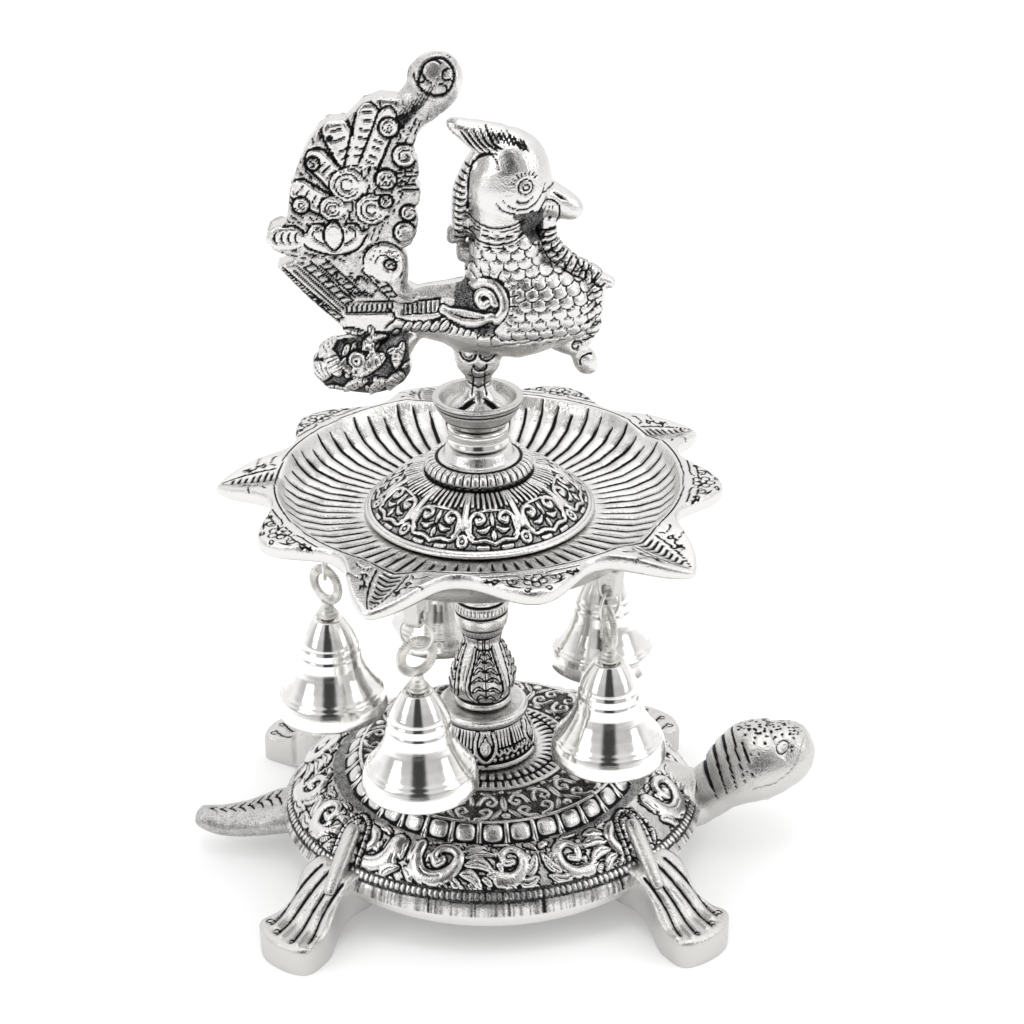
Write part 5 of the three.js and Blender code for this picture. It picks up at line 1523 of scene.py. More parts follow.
    @staticmethod
    def around(points: np.ndarray, stations: Sequence[Sequence[float]]) -> np.ndarray:
        """Lays a limb's skin flat: along it in X, and round it from the top in mm."""
        s = np.array(sorted((x, z) for x, z, *_ in stations))
        height = points[:, 2] - np.interp(points[:, 0], s[:, 0], s[:, 1])
        return np.stack([points[:, 0], np.arctan2(points[:, 1], height) * 9.5], 1)


# Peacock

@dataclass
class Peacock:
    """The peacock on its cup, in the XZ plane, with z = 0 at the cup's foot."""

    cup_r: float = 13.0
    cup_h: float = 8.6
    cup_floor: float = 4.2
    foot_r: float = 8.7
    bore_r: float = 3.3
    fan_t: float = 9.0
    voxel: float = 0.47

    FAN = (
        (-57, 57.7), (-55.8, 60.8), (-51.5, 62.2), (-50.3, 70.6), (-48, 77.7), (-45.5, 83.3), (-41.8, 88.8),
        (-38.4, 91),
        (-34.3, 91), (-32.5, 92.8), (-29.6, 95.6), (-24.8, 97.5), (-19.4, 96.8), (-14, 90), (-15.7, 84.2),
        (-17, 81.4),
        (-15, 79.2), (-14.6, 75.5), (-16, 73.4), (-14.4, 71), (-14.8, 67.4), (-16.4, 65.6), (-15.2, 62.6),
        (-16, 58.6),
        (-17.4, 55.5), (-20.6, 53.6), (-19.6, 50.4), (-22.4, 46), (-19, 41), (-20, 31), (-30, 26.5), (-36.9, 30.6),
        (-46, 39.5), (-55, 49.7), (-49.2, 51.6), (-55.6, 54.2),
    )
    FORMS = (
        ("body", ((-26, 33, 0, 0), (-24, 33.5, 5, 5), (-17, 34.5, 7.2, 7), (-9, 34.3, 8.8, 9), (0, 33.4, 11.8, 11.5),
                  (9, 35.2, 15, 12.8), (17, 36, 14, 12.6), (24, 35.8, 11.8, 10.8), (30, 35.2, 8, 7.8),
                  (33.5, 35, 0, 0))),
        ("neck", ((8, 38, 0, 0), (8.6, 42, 12.4, 10), (8, 50, 10.8, 9.2), (7.8, 54, 10.2, 9), (7, 57.5, 8.3, 8.8),
                  (7.2, 61, 8.9, 9.4), (8.6, 66, 11.4, 10.8), (9.4, 72, 12.4, 11.2), (9.4, 78, 10.9, 10.4),
                  (8, 83, 7.6, 7.8), (6.6, 87, 0, 0))),
        ("crest", ((8, 82, 0, 0), (6.5, 83, 5.6, 6), (1.5, 85.2, 4.4, 5), (-3, 87.3, 2.9, 3.6), (-6.2, 89, 1.6, 2.2),
                   (-7.2, 89.6, 0, 0))),
        ("beak", ((15, 69, 0, 0), (18, 68, 5.6, 5.8), (22.5, 66.2, 4.6, 4.6), (26.6, 64.2, 3.7, 3.6),
                  (28.8, 63.2, 2.4, 2.6),
                  (29.8, 62.7, 0, 0))),
        ("ruff", ((3, 83, 0, 0), (1.6, 80, 2.6, 4), (-1.2, 75.5, 2.5, 4.6), (-3.4, 70, 2.6, 4.6),
                  (-4.2, 64, 2.5, 4.6),
                  (-4, 58, 2.4, 4), (-3, 55, 0, 0))),
        ("bead", ((-5.4, 60, 0, 0), (-5.5, 58.8, 2.2, 3), (-5.4, 56, 2.6, 3), (-5, 54.8, 0, 0))),
        ("bead", ((-3, 54.8, 0, 0), (-3, 53.6, 2.4, 3.2), (-2.6, 50.8, 2.6, 3.2), (-2, 49.4, 0, 0))),
        ("garland", ((23.5, 65.5, 0, 0), (21.6, 64, 3.2, 3), (19.8, 59.6, 2.4, 2.8), (20, 55, 2.5, 2.8),
                     (23.6, 49.6, 2.8, 2.8), (29, 46, 2.8, 2.8), (34.4, 43.2, 2.4, 2.6), (38, 42.1, 1.7, 2),
                     (39.2, 41.9, 0, 0))),
        ("garland_end", ((33.5, 44, 0, 0), (33.4, 41.5, 3, 3.4), (33, 35.5, 3, 3.4), (31.2, 28, 2.8, 3.2),
                         (29, 23, 2.7, 3), (30.6, 18.8, 3.6, 3.6), (31.6, 16, 2.8, 2.8), (31.9, 14.5, 0, 0))),
        ("belly", ((22, 28, 0, 0), (24, 26, 4.6, 4), (28, 22.6, 2.8, 3), (29.5, 21, 0, 0))),
        ("knob", ((-26, 82, 0, 0), (-22.5, 86.5, 6.2, 4.4), (-17.8, 91.5, 5.8, 4.6), (-13.6, 95.4, 6.2, 5),
                  (-10.8, 99, 7.5, 5.8), (-9.6, 103, 7.6, 5.6), (-9, 106.6, 5.2, 4), (-8.8, 108.8, 0, 0))),
        ("under_tail", ((-45.6, 17, 0, 0), (-44.2, 17.4, 4.6, 5), (-38, 19, 7.9, 8), (-30, 19, 8.8, 8.6),
                        (-25.5, 20, 8, 8), (-22.5, 24.5, 4.8, 7), (-18, 29, 3.6, 6), (-12, 31, 0, 0))),
        ("tail_curl", ((-26.5, 48, 0, 0), (-24.8, 51.3, 3.2, 5.6), (-21.6, 51.6, 2.8, 6), (-21.4, 47, 3, 6),
                       (-22, 42, 3.4, 6), (-17.5, 38.6, 3.4, 6.6), (-11, 38, 0, 0))),
        ("leg", ((0.3, 27.5, 0, 0), (0.3, 24, 7.6, 7.4), (0.3, 18.4, 6.4, 6.4), (0.3, 15, 4, 4.2),
                 (0.3, 11.6, 3.4, 3.8),
                 (0.5, 8.6, 5, 5), (0.6, 5.6, 9, 7.6), (0.6, 3.6, 9.4, 8), (0.6, 3, 0, 0))),
    )

    def build(self, place: Place) -> None:
        """Builds the cup and the bird."""
        self.cup(place)
        self.bird(place)

    def cup(self, place: Place) -> None:
        """Builds the cup that the bird stands in."""
        r, h = self.cup_r, self.cup_h
        corners = [
            (self.bore_r, 0), (self.foot_r - 0.1, 0), (self.foot_r + 0.2, 0.9), (r - 2.8, 2.2), (r - 2.2, 3.2),
            (r - 1, 5),
            (r - 0.8, 6), (r, 7.4), (r, h), (r - 1.8, h), (r - 3.4, 5.6), (r - 6, self.cup_floor),
            (self.bore_r, self.cup_floor),
        ]
        body = lathe(Outline(corners, [2] + [0.3] * 11 + [2], 1.2), 230)
        points = body.points
        relief = Relief(points[:, :2], ground=0.95)
        out = body.normals[:, :2] * points[:, :2]
        outer = out.sum(1) > 0.1
        relief.bright[~outer & (points[:, 2] < h - 0.6)] = 0.8
        for z, width in ((2.4, 0.3), (6.2, 0.35), (7.4, 0.3)):
            relief.groove(np.where(outer, points[:, 2] - z, FAR), width, 0.2)
        body.dress(relief).move(place.foot("peacock"))
        body.finish("cup_cast", "stand", Finish.SMOOTH, "peacock_casting", ["peacock"])

    def bird(self, place: Place) -> None:
        """Builds and dresses the bird."""
        forms = [loft(stations, 26, 34) for _, stations in self.FORMS]
        fan = slab(np.array(self.FAN, float)[::-1], self.fan_t, 1.4)
        fan.mesh.transform(Matrix.Rotation(math.pi / 2, 4, "X"))
        body = joined(forms + [face_out(fan)]).remesh(self.voxel).soften(3, 0.4)
        points, out = body.points, body.normals
        for side in (-1, 1):
            where = np.flatnonzero(out[:, 1] * side > 0.15)
            relief = Relief(points[where][:, (0, 2)], ground=0.9)
            self.draw(relief)
            body.dress(relief, where)
        body.move(place.foot("peacock"))
        body.finish("peacock_cast", "stand", Finish.RELIEF, "peacock_casting")

    def draw(self, relief: Relief) -> None:
        """Draws the bird's feathers and face, as seen from one side."""
        self.draw_fan(relief)
        self.draw_tail_root(relief)
        self.draw_under_tail(relief)
        self.draw_body(relief)
        self.draw_head(relief)
        self.draw_garland(relief)

    @staticmethod
    def roll(relief: Relief, centre: Sequence[float], r: float, start: float = 0.0, turns: float = 1.4) -> None:
        """Draws a rolled feather end: a bulge with a dark outline and a spiral cut."""
        relief.plain(np.linalg.norm(relief.points - centre, axis=1) < r, 0.8)
        relief.lift(ring(centre, r * 0.5), r * 0.6, 0.6)
        relief.cut(ring(centre, r), 0.5, 0.7)
        relief.cut(spiral(centre, r * 0.68, 0.3, start, turns), 0.24, 0.35)

    @staticmethod
    def plume(relief: Relief, spine: np.ndarray, width: float, bars: int, skip: float = 0.3) -> None:
        """Draws a round-ended plume: raised edges, a dark outline and a ladder of bars down its middle."""
        side = np.gradient(spine, axis=0)[:, ::-1] * (-1, 1)
        side /= np.maximum(np.linalg.norm(side, axis=1), 1e-9)[:, None]
        half = width * np.sqrt(np.clip(np.linspace(0, 1, len(spine)) * 5, 0, 1))[:, None]
        ids, _ = relief.measure(spine[3:-4], width * 0.8)
        relief.height[ids] = 0
        relief.bright[ids] = 0.78
        for s in (-1, 1):
            relief.cut(spine + s * side * half, 0.46, 0.7)
            relief.lift(spine + s * side * half * 0.68, 0.7, 0.35)
        for t in np.linspace(skip, 0.95, bars):
            i = int(t * (len(spine) - 1))
            a, b = spine[i] - side[i] * half[i] * 0.42, spine[i] + side[i] * half[i] * 0.42
            relief.cut(curve([a, b], 4), 0.3, 0.4)

    @staticmethod
    def ladder(relief: Relief, a: Sequence[float], b: Sequence[float], width: float, count: int,
               lean: float = 0.0) -> None:
        """Draws a band between two lines, crossed by dark bars."""
        p, q = np.asarray(a, float), np.asarray(b, float)
        along = (q - p) / np.linalg.norm(q - p)
        side = np.array([-along[1], along[0]])
        for s in (-1, 1):
            relief.cut(np.array([p + s * side * width, q + s * side * width]), 0.28, 0.45)
        for t in np.linspace(0.04, 0.96, count):
            c = p + (q - p) * t
            relief.cut(np.array([c - side * width * 0.7 - along * lean, c + side * width * 0.7 + along * lean]),
                       0.33, 0.4)

    def draw_fan(self, relief: Relief) -> None:
        """Draws the raised tail with its plumes, discs, rolls and lotus."""
        p = relief.points
        seed = np.random.default_rng(11)
        fan = (p[:, 0] < -14) & (p[:, 1] > 36) & (p[:, 1] < 98)
        relief.bright[fan] = 0.62
        relief.bright[(p[:, 0] < -4) & (p[:, 1] > 90)] = 0.6
        relief.cut(curve([(-14.6, 101.0), (-12.6, 106.4), (-7.6, 107.6), (-4.6, 103.6), (-6.6, 98.8), (-11.4, 98.4),
                          (-14.6, 101.0)], 30), 0.42, 0.5)
        for x, z, a in zip(seed.uniform(-24, -5, 44), seed.uniform(84, 108, 44), seed.uniform(20, 80, 44)):
            tip = (x + 2.2 * math.cos(math.radians(a)), z + 2.2 * math.sin(math.radians(a)))
            relief.cut(np.array([(x, z), tip]), swell(0.36, 0.2), 0.35, 0.9)
        for x, z in zip(seed.uniform(-54, -16, 210), seed.uniform(40, 90, 210)):
            relief.dot((x, z), seed.uniform(0.25, 0.6), 0.2)
        for r in np.arange(5.0, 46.0, 2.5):
            for a in np.arange(62.0, 172.0, 130.0 / (r + 4)):
                a, r0 = math.radians(a + seed.uniform(-2, 2)), r + seed.uniform(-0.7, 0.7)
                x, z = -31 + r0 * math.cos(a), 50 + r0 * math.sin(a)
                bend = seed.uniform(-0.5, 0.5)
                relief.cut(curve([(x, z), (x + 0.9 * math.cos(a) + bend, z + 0.9 * math.sin(a)),
                                  (x + 2.1 * math.cos(a), z + 2.1 * math.sin(a))], 6), swell(0.36, 0.2), 0.4, 0.9)
        for k in range(9):
            x = -9.0 - 1.6 * k
            relief.cut(curve([(x, 103 - 1.4 * k), (x - 4, 96 - 1.3 * k), (x - 11, 88 - 1.2 * k)], 14),
                       swell(0.5, 0.3), 0.35, 0.7)
        for x, z, r, a in ((-10.5, 104.5, 3.0, 40), (-14.0, 103.0, 1.6, 160), (-8.4, 99.6, 1.8, 250),
                           (-6.4, 103.5, 1.6, 80)):
            relief.cut(spiral((x, z), r, r * 0.9, a, 0.6), 0.34, 0.35)
        self.plume(relief, curve([(-37.6, 92.0), (-36.6, 88.0), (-34.4, 82.6), (-32.6, 78.0)], 30), 4.0, 5)
        self.plume(relief, curve([(-27.6, 96.4), (-28.4, 91.0), (-30.2, 84.0), (-31.8, 77.2)], 30), 3.4, 7, 0.2)
        self.plume(relief, curve([(-44.6, 83.0), (-42.0, 80.0), (-38.8, 76.6), (-36.0, 73.0)], 30), 3.4, 5, 0.45)
        self.plume(relief, curve([(-49.6, 74.0), (-46.8, 71.6), (-43.0, 69.0), (-39.0, 67.0)], 30), 3.4, 5)
        self.plume(relief, curve([(-22.0, 95.2), (-23.6, 90.0), (-26.0, 84.0), (-28.4, 78.4)], 30), 2.8, 6, 0.35)
        relief.dot((-38.6, 86.4), 1.3, 0.5)
        self.roll(relief, (-43.4, 79.4), 1.9)
        self.roll(relief, (-22.6, 89.2), 2.8, 90)
        self.roll(relief, (-47.2, 67.6), 2.4, 200)
        for centre, radii in (((-34.4, 73.2), (4.9, 3.3, 1.7)), ((-28.0, 66.2), (4.4, 2.9, 1.4)),
                              ((-38.6, 66.6), (3.6, 2.0, 1.0))):
            relief.lift(ring(centre, radii[1]), 2.2, 0.6)
            relief.plain(np.linalg.norm(p - centre, axis=1) < radii[0], 0.85)
            for r in radii:
                relief.cut(spiral(centre, r, r, 20, 0.86), 0.3, 0.45)
        for x, z, r, a in ((-18.6, 81.2, 3.4, 20), (-23.8, 74.6, 3.0, 200), (-18.0, 65.0, 2.3, 0),
                           (-19.2, 59.4, 3.1, 90),
                           (-24.0, 68.4, 1.9, 50)):
            self.roll(relief, (x, z), r, a)
        for k in range(5):
            relief.cut(curve([(-20.6, 71.2 + 1.25 * k), (-17.8, 71.8 + 1.25 * k), (-15.0, 71.4 + 1.25 * k)], 8), 0.3,
                       0.45)
            relief.cut(curve([(-25.6 + 0.9 * k, 73.0), (-25.0 + 0.9 * k, 76.0)], 5), 0.22, 0.3, 0.7)
        self.draw_lotus(relief)

    @staticmethod
    def draw_lotus(relief: Relief) -> None:
        """Draws the lotus across the lower fan and the ribbed roll to its left."""
        p = relief.points
        relief.plain(((p[:, 0] + 38.6) / 10) ** 2 + ((p[:, 1] - 57.6) / 4.6) ** 2 < 1, 0.95, 0.7)
        relief.cut(curve([(-38.6, 63.4), (-41.0, 61.0), (-41.2, 57.6), (-38.6, 54.6), (-36.2, 57.4), (-36.4, 61.0),
                          (-38.6, 63.4)],
                         26), 0.5, 0.8)
        relief.cut(curve([(-47.4, 57.6), (-45.4, 55.2), (-38.6, 53.2), (-32.4, 54.8), (-29.6, 58.8)], 22), 0.5, 0.8)
        for s in (-1, 1):
            c = -38.4 + s * 5.2
            relief.cut(curve([(c - s * 2.2, 56.6), (c + s * 0.2, 58.2), (c + s * 0.6, 60.0), (c - s * 1.0, 61.2),
                              (c - s * 2.0, 60.0)], 16), 0.34, 0.5)
            relief.cut(curve([(c - s * 2.4, 62.0), (c + s * 0.8, 62.2), (c + s * 2.4, 60.0), (c + s * 3.6, 60.4)],
                             14), 0.4, 0.6)
        relief.plain(((p[:, 0] + 51.6) / 5.4) ** 2 + ((p[:, 1] - 58.2) / 3.3) ** 2 < 1, 0.9, 0.6)
        relief.cut(curve([(-46.8, 59.4), (-49.0, 61.6), (-52.6, 61.4)], 12), 0.4, 0.6)
        for k in range(4):
            x = -54.0 + 1.9 * k
            relief.cut(curve([(x, 56.6), (x - 1.0, 58.4), (x, 60.4)], 8), swell(0.42, 0.3), 0.45)

    def draw_tail_root(self, relief: Relief) -> None:
        """Draws the straight feather bands, the shell-shaped curl and the ladder towards the body."""
        p = relief.points
        strip = (p[:, 1] - 36 < (-48.0 - p[:, 0]) * 0.98 + 10.5) & (p[:, 0] < -36)
        relief.bright[strip & (p[:, 1] > 31)] = 0.7
        self.ladder(relief, (-53.4, 49.2), (-41.0, 36.2), 0.75, 17, 0.2)
        for x0, z0, x1, z1, w, n in ((-49.6, 49.4, -37.0, 36.6, 0.7, 0), (-46.4, 50.6, -34.8, 38.6, 1.3, 8),
                                     (-42.0, 51.0, -32.6, 41.4, 1.2, 7), (-30.4, 49.6, -22.8, 40.4, 1.4, 7),
                                     (-36.4, 37.4, -22.8, 37.6, 1.6, 10), (-37.6, 34.0, -45.6, 41.0, 0.9, 6)):
            self.ladder(relief, (x0, z0), (x1, z1), w, n, 0.3 if n else 0)
        centre = np.array([-25.2, 50.8])
        relief.plain(np.linalg.norm(p - centre, axis=1) < 5.6, 0.9, 0.3)
        relief.cut(spiral(centre, 5.9, 5.7, -40, 0.62), 0.4, 0.6)
        relief.cut(spiral(centre, 2.4, 2.2, -60, 0.66), 0.3, 0.45)
        for a in range(10, 200, 19):
            out = np.array([math.cos(math.radians(a)), math.sin(math.radians(a))])
            relief.cut(np.array([centre + out * 2.9, centre + out * 5.2]), swell(0.36, 0.3), 0.4)
        self.roll(relief, (-23.4, 50.4), 1.7, 0, 0.6)
        for k in range(3):
            relief.cut(curve([(-36.4 + 3 * k, 45.4), (-34.6 + 3 * k, 46.8), (-33.0 + 3 * k, 45.0)], 8), 0.34, 0.4)
            relief.cut(curve([(-37.0 + 3.2 * k, 42.2), (-35.4 + 3.2 * k, 41.2), (-34.0 + 3.2 * k, 42.6)], 8), 0.34,
                       0.4)
        self.ladder(relief, (-20.6, 37.4), (-9.6, 39.0), 1.6, 9, 0.2)
        relief.cut(curve([(-22.4, 34.6), (-16.0, 33.9), (-8.6, 36.2)], 16), 0.44, 0.5)
        for k in range(5):
            x = -20.4 + 2.6 * k
            relief.leaf(np.array([(x, 30.6 + 0.3 * k), (x + 2.4, 34.0 + 0.3 * k)]), 1.05, 0.5)
        relief.cut(curve([(-25.4, 31.4), (-22.6, 34.6), (-24.6, 37.0)], 10), 0.4, 0.5)

    def draw_under_tail(self, relief: Relief) -> None:
        """Draws the cluster of feathers under the tail."""
        p = relief.points
        where = (p[:, 0] < -19) & (p[:, 1] < 30.5)
        relief.bright[where] = 0.36
        seed = np.random.default_rng(31)
        for x, z, a in zip(seed.uniform(-45, -21, 46), seed.uniform(12, 30, 46), seed.uniform(20, 110, 46)):
            tip = (x + 2.4 * math.cos(math.radians(a)), z + 2.4 * math.sin(math.radians(a)))
            relief.leaf(np.array([(x, z), tip]), 0.75, 0.6)
        for x0, z0, x1, z1, w in ((-46.0, 15.6, -41.0, 20.4, 2.9), (-41.4, 24.0, -38.6, 18.6, 2.6),
                                  (-44.0, 22.4, -38.8, 28.2, 2.0),
                                  (-40.0, 28.0, -31.6, 30.2, 1.6), (-31.6, 25.4, -25.0, 28.6, 2.1),
                                  (-32.6, 18.6, -25.6, 23.4, 1.9),
                                  (-37.6, 12.6, -30.8, 17.4, 1.9), (-30.4, 11.8, -25.0, 17.0, 1.9),
                                  (-25.0, 12.6, -21.4, 18.8, 2.0),
                                  (-42.6, 12.8, -36.6, 13.6, 1.4), (-22.8, 20.4, -20.6, 26.4, 1.7),
                                  (-36.6, 18.2, -33.6, 19.0, 1.2)):
            line = curve([(x0, z0), ((x0 + x1) / 2 - 0.5, (z0 + z1) / 2 + 0.7), (x1, z1)], 12)
            relief.bar(line, swell(w), 0.8)
            side = np.gradient(line, axis=0)[:, ::-1] * (-1, 1)
            side /= np.linalg.norm(side, axis=1)[:, None]
            for i in range(3, 10, 2):
                relief.cut(np.array([line[i] - side[i] * w * 0.6, line[i] + side[i] * w * 0.6 + (0.3, 0.2)]), 0.24,
                           0.35, 0.8)
        relief.bar(ring((-33.8, 22.6), 1.5), 1.2, 0.9)
        relief.cut(spiral((-34.0, 22.8), 2.4, 2.0, 60, 0.5), 0.5, 0.6)

    def draw_body(self, relief: Relief) -> None:
        """Draws the wing's curl, the breast's scales and the leg."""
        p = relief.points
        back = (p[:, 0] > -20) & (p[:, 0] < 0.5) & (p[:, 1] > 40.6) & (p[:, 1] < 60)
        relief.bright[back] = 0.52
        body = (p[:, 0] > 0.5) & (p[:, 0] < 30) & (p[:, 1] > 29) & (p[:, 1] < 56)
        relief.bright[body] = np.where(p[body][:, 0] < 6.5, 0.6, 0.36)
        rows = [(x + (0 if row % 2 else 1.9), 57.2 - 2.75 * row)
                for row in range(10, -1, -1) for x in np.arange(0.4, 31, 3.8)]
        for x, z in rows:
            if math.hypot(x - 2, z - 40) < 8.4 or z < 29.5:
                continue
            ids, d = relief.measure(np.array([(x, z), (x, z + 1e-4)]), 2.45)
            relief.height[ids] = 0.9 * np.sqrt(1 - (0.95 * d) ** 2)
            relief.bright[ids] = np.clip((0.94 - d) / 0.16, 0, 1)
        self.draw_wing(relief)
        belly = (p[:, 0] > 4) & (p[:, 0] < 27) & (p[:, 1] < 30.2) & (p[:, 1] > 20)
        relief.bright[belly] = 0.85
        relief.cut(curve([(4, 28), (12, 29.4), (22, 30.6)], 10), 0.35, 0.3, 0.7)
        for k in range(4):
            relief.cut(curve([(10 + 4 * k, 27.4 + 0.4 * k), (12.4 + 4 * k, 28.2 + 0.4 * k)], 4), 0.3, 0.25, 0.7)
        for x, z, r in ((-2.6, 23.8, 2.2), (3.0, 23.8, 2.2), (0.9, 20.2, 1.9)):
            relief.cut(spiral((x, z), r, r, 180, 0.5), 0.5, 0.5)
            relief.cut(spiral((x, z), r * 0.55, r * 0.55, 190, 0.45), 0.26, 0.3)
        for s in (-1, 1):
            relief.cut(curve([(0.4 + s * 2.0, 19), (0.4 + s * 1.6, 14), (0.4 + s * 2.2, 10)], 8), 0.3, 0.35)
            for k in range(3):
                relief.cut(curve([(0.4 + s * 1.2, 9.4 - 0.5 * k), (0.4 + s * (4.0 + k), 7.4 - 0.8 * k),
                                  (0.4 + s * (6.6 + k), 5.2)],
                                 10), swell(0.5, 0.3), 0.5)
        for z in (12.6, 15.6):
            relief.cut(curve([(-2.6, z + 1), (0.3, z), (3.4, z + 1)], 8), 0.36, 0.35)

    @staticmethod
    def draw_wing(relief: Relief) -> None:
        """Draws the wing: a ribbed arc over a C-shaped curl that ends in a long leaf."""
        p = relief.points
        inside = np.linalg.norm(p - (2.0, 40.0), axis=1) < 8.2
        relief.height[inside], relief.bright[inside] = 0, 0.36
        arc = curve([(-1.6, 46.8), (2.2, 49.0), (6.6, 48.6), (9.8, 45.6), (10.6, 41.0), (9.4, 36.6), (6.4, 33.0)], 34)
        relief.bar(arc, 1.35, 0.7)
        relief.cut(arc, 0.22, 0.3, 0.5)
        side = np.gradient(arc, axis=0)[:, ::-1] * (-1, 1)
        side /= np.linalg.norm(side, axis=1)[:, None]
        for i in range(2, 32, 3):
            relief.cut(np.array([arc[i] - side[i] * 1.1, arc[i] + side[i] * 1.1]), 0.26, 0.35)
        relief.bar(curve([(-0.6, 44.4), (2.0, 46.0), (5.2, 45.4), (7.4, 42.6), (7.6, 39.2), (5.6, 36.2)], 26), 1.3,
                   0.8)
        relief.bar(curve([(5.2, 40.6), (4.0, 42.8), (1.8, 43.2), (0.4, 41.4), (1.8, 39.8), (3.2, 40.6)], 24), 1.0,
                   0.8)
        leaf = curve([(4.2, 37.0), (-0.6, 36.0), (-5.0, 36.4), (-9.0, 38.0)], 20)
        relief.bar(leaf, swell(2.6, 0.5), 1.0)
        relief.cut(leaf[2:-2] + (0, 0.4), swell(0.42, 0.3), 0.4)
        relief.cut(curve([(-7.2, 35.6), (-2.0, 33.6), (3.6, 34.2)], 12), 0.36, 0.4)
        for k in range(6):
            relief.cut(np.array([(-7.6 + 1.9 * k, 31.2), (-6.8 + 1.9 * k, 33.0)]), 0.28, 0.3)

    def draw_head(self, relief: Relief) -> None:
        """Draws the crest, the eye, the cheek, the ruff and the collar."""
        for k in range(5):
            relief.cut(curve([(-3.4 + 1.7 * k, 87.6 + 0.35 * k), (-1.4 + 1.7 * k, 84.6),
                              (0.9 + 1.8 * k, 81.6 + 0.5 * k)], 12),
                       swell(0.62, 0.25), 0.6)
        seed = np.random.default_rng(4)
        for x in np.linspace(4.4, 14.4, 15):
            z = 86.6 - 0.1 * (x - 6) ** 2 * 0.4 + seed.uniform(-0.5, 0.5)
            relief.cut(curve([(x - 0.9, z + 1.0), (x + 0.5, z - 1.7)], 4), swell(0.4, 0.3), 0.35)
        relief.cut(curve([(-0.2, 78.6), (1.4, 80.6), (3.6, 82.0), (6.4, 82.4)], 12), swell(0.55, 0.3), 0.5)
        relief.cut(curve([(4.6, 82.2), (6.2, 80.6), (6.9, 78.4)], 8), swell(0.3, 0.3), 0.3)
        eye = (13.9, 73.8)
        relief.lift(ring(eye, 0.9), 1.4, 0.5)
        relief.cut(ring(eye, 2.0), 0.3, 0.4)
        relief.cut(ring(eye, 0.85), 0.26, 0.35)
        for a in range(40, 175, 17):
            out = np.array([math.cos(math.radians(a)), math.sin(math.radians(a))])
            relief.cut(np.array([np.array(eye) + out * 3.3, np.array(eye) + out * 4.1]), 0.28, 0.25)
        relief.cut(curve([(10.9, 70.7), (12.0, 69.6), (14.0, 69.3), (16.2, 70.9)], 14), swell(0.46, 0.25), 0.5)
        relief.cut(curve([(7.2, 71.2), (8.6, 69.2), (10.6, 67.9), (13.6, 67.3), (16.6, 68.6), (18.4, 71.0),
                          (19.4, 73.6)], 24),
                   swell(0.34, 0.3), 0.4)
        relief.cut(curve([(5.9, 69.4), (7.4, 67.6), (10.2, 66.5), (13.6, 66.0), (16.0, 66.6)], 18), 0.28, 0.3)
        p = relief.points
        gap = (p[:, 0] > 10.5) & (p[:, 0] < 19) & (p[:, 1] > 56) & (p[:, 1] < 66.4) & (p[:, 1] > 88 - 2.2 * p[:, 0])
        relief.bright[gap] = 0.34
        relief.cut(curve([(-0.2, 79.4), (-1.4, 75), (-1.8, 70), (-1.9, 65.6)], 16), 0.36, 0.4)
        for z in np.arange(57.0, 79.5, 1.9):
            x = -3.6 if z < 75 else -3.6 + (z - 75) * 0.55
            relief.cut(np.array([(x - 1.9, z + 0.4), (x + 1.1, z)]), 0.4, 0.5)
        collar = (p[:, 1] > 57.6) & (p[:, 1] < 64.4) & (p[:, 0] > -3) & (p[:, 0] < 12)
        relief.bright[collar] = 0.85
        for low, width in ((61.8, 0.36), (60.6, 0.24), (57.2, 0.4), (56.0, 0.22)):
            relief.cut(curve([(-2.8, low + 3.0), (0.4, low + 0.9), (5.4, low), (10.6, low + 0.9), (13.2, low + 2.4)],
                             20), width, 0.4)
        for k in range(6):
            x = -0.2 + 2.2 * k
            low = 58.9 + 0.05 * (x - 5.4) ** 2
            relief.cut(np.array([(x, low), (x + 1.4, low + 0.02)]), 0.32, 0.3)

    @staticmethod
    def draw_garland(relief: Relief) -> None:
        """Draws the beak's slot and the garland that hangs from it."""
        relief.cut(curve([(21.6, 70.2), (23.4, 68.8), (25.2, 67.6)], 8), swell(0.5, 0.3), 0.4)
        relief.cut(curve([(18.6, 71.0), (20.4, 71.6), (21.6, 72.0)], 6), 0.3, 0.3)
        relief.cut(curve([(17.6, 65.4), (19.8, 68.6), (22.8, 67.0), (23.4, 64.4), (22.6, 60.8)], 16), 0.36, 0.5)
        relief.dot((20.6, 62.4), 0.7, 0.5)
        for k in range(3):
            relief.cut(np.array([(18.8 + 1.1 * k, 64.2), (19.5 + 1.0 * k, 66.6)]), 0.22, 0.25, 0.8)
        path = curve([(19.9, 59.4), (20.4, 56.0), (22.0, 52.4), (24.8, 49.4), (28.4, 47.2), (31.6, 45.8)], 40)
        side = np.gradient(path, axis=0)[:, ::-1] * (-1, 1)
        side /= np.linalg.norm(side, axis=1)[:, None]
        for i in range(1, 40, 4):
            relief.cut(np.array([path[i] - side[i] * 1.6, path[i] + side[i] * 1.8]), 0.42, 0.5)
        relief.cut(path - side * 2.1, 0.3, 0.4)
        relief.cut(spiral((34.6, 43.6), 1.9, 1.6, 110, 0.6), 0.4, 0.5)
        relief.cut(curve([(31.8, 46.4), (32.4, 44.0), (31.6, 42.4)], 8), 0.36, 0.5)
        for z in (40.6, 38.4, 36.4, 33.6, 30.6, 28.2, 26.4):
            relief.cut(curve([(29.6 + 0.06 * (z - 25), z - 0.4), (32.4 + 0.06 * (z - 25), z + 0.2), (35.0, z + 0.9)],
                             8),
                       0.36, 0.45)
        relief.cut(spiral((28.0, 24.2), 1.8, 0.6, 30, 0.9), 0.4, 0.5)
        relief.cut(spiral((31.2, 19.2), 2.6, 2.2, 60, 0.4), 0.36, 0.4)


# Bells

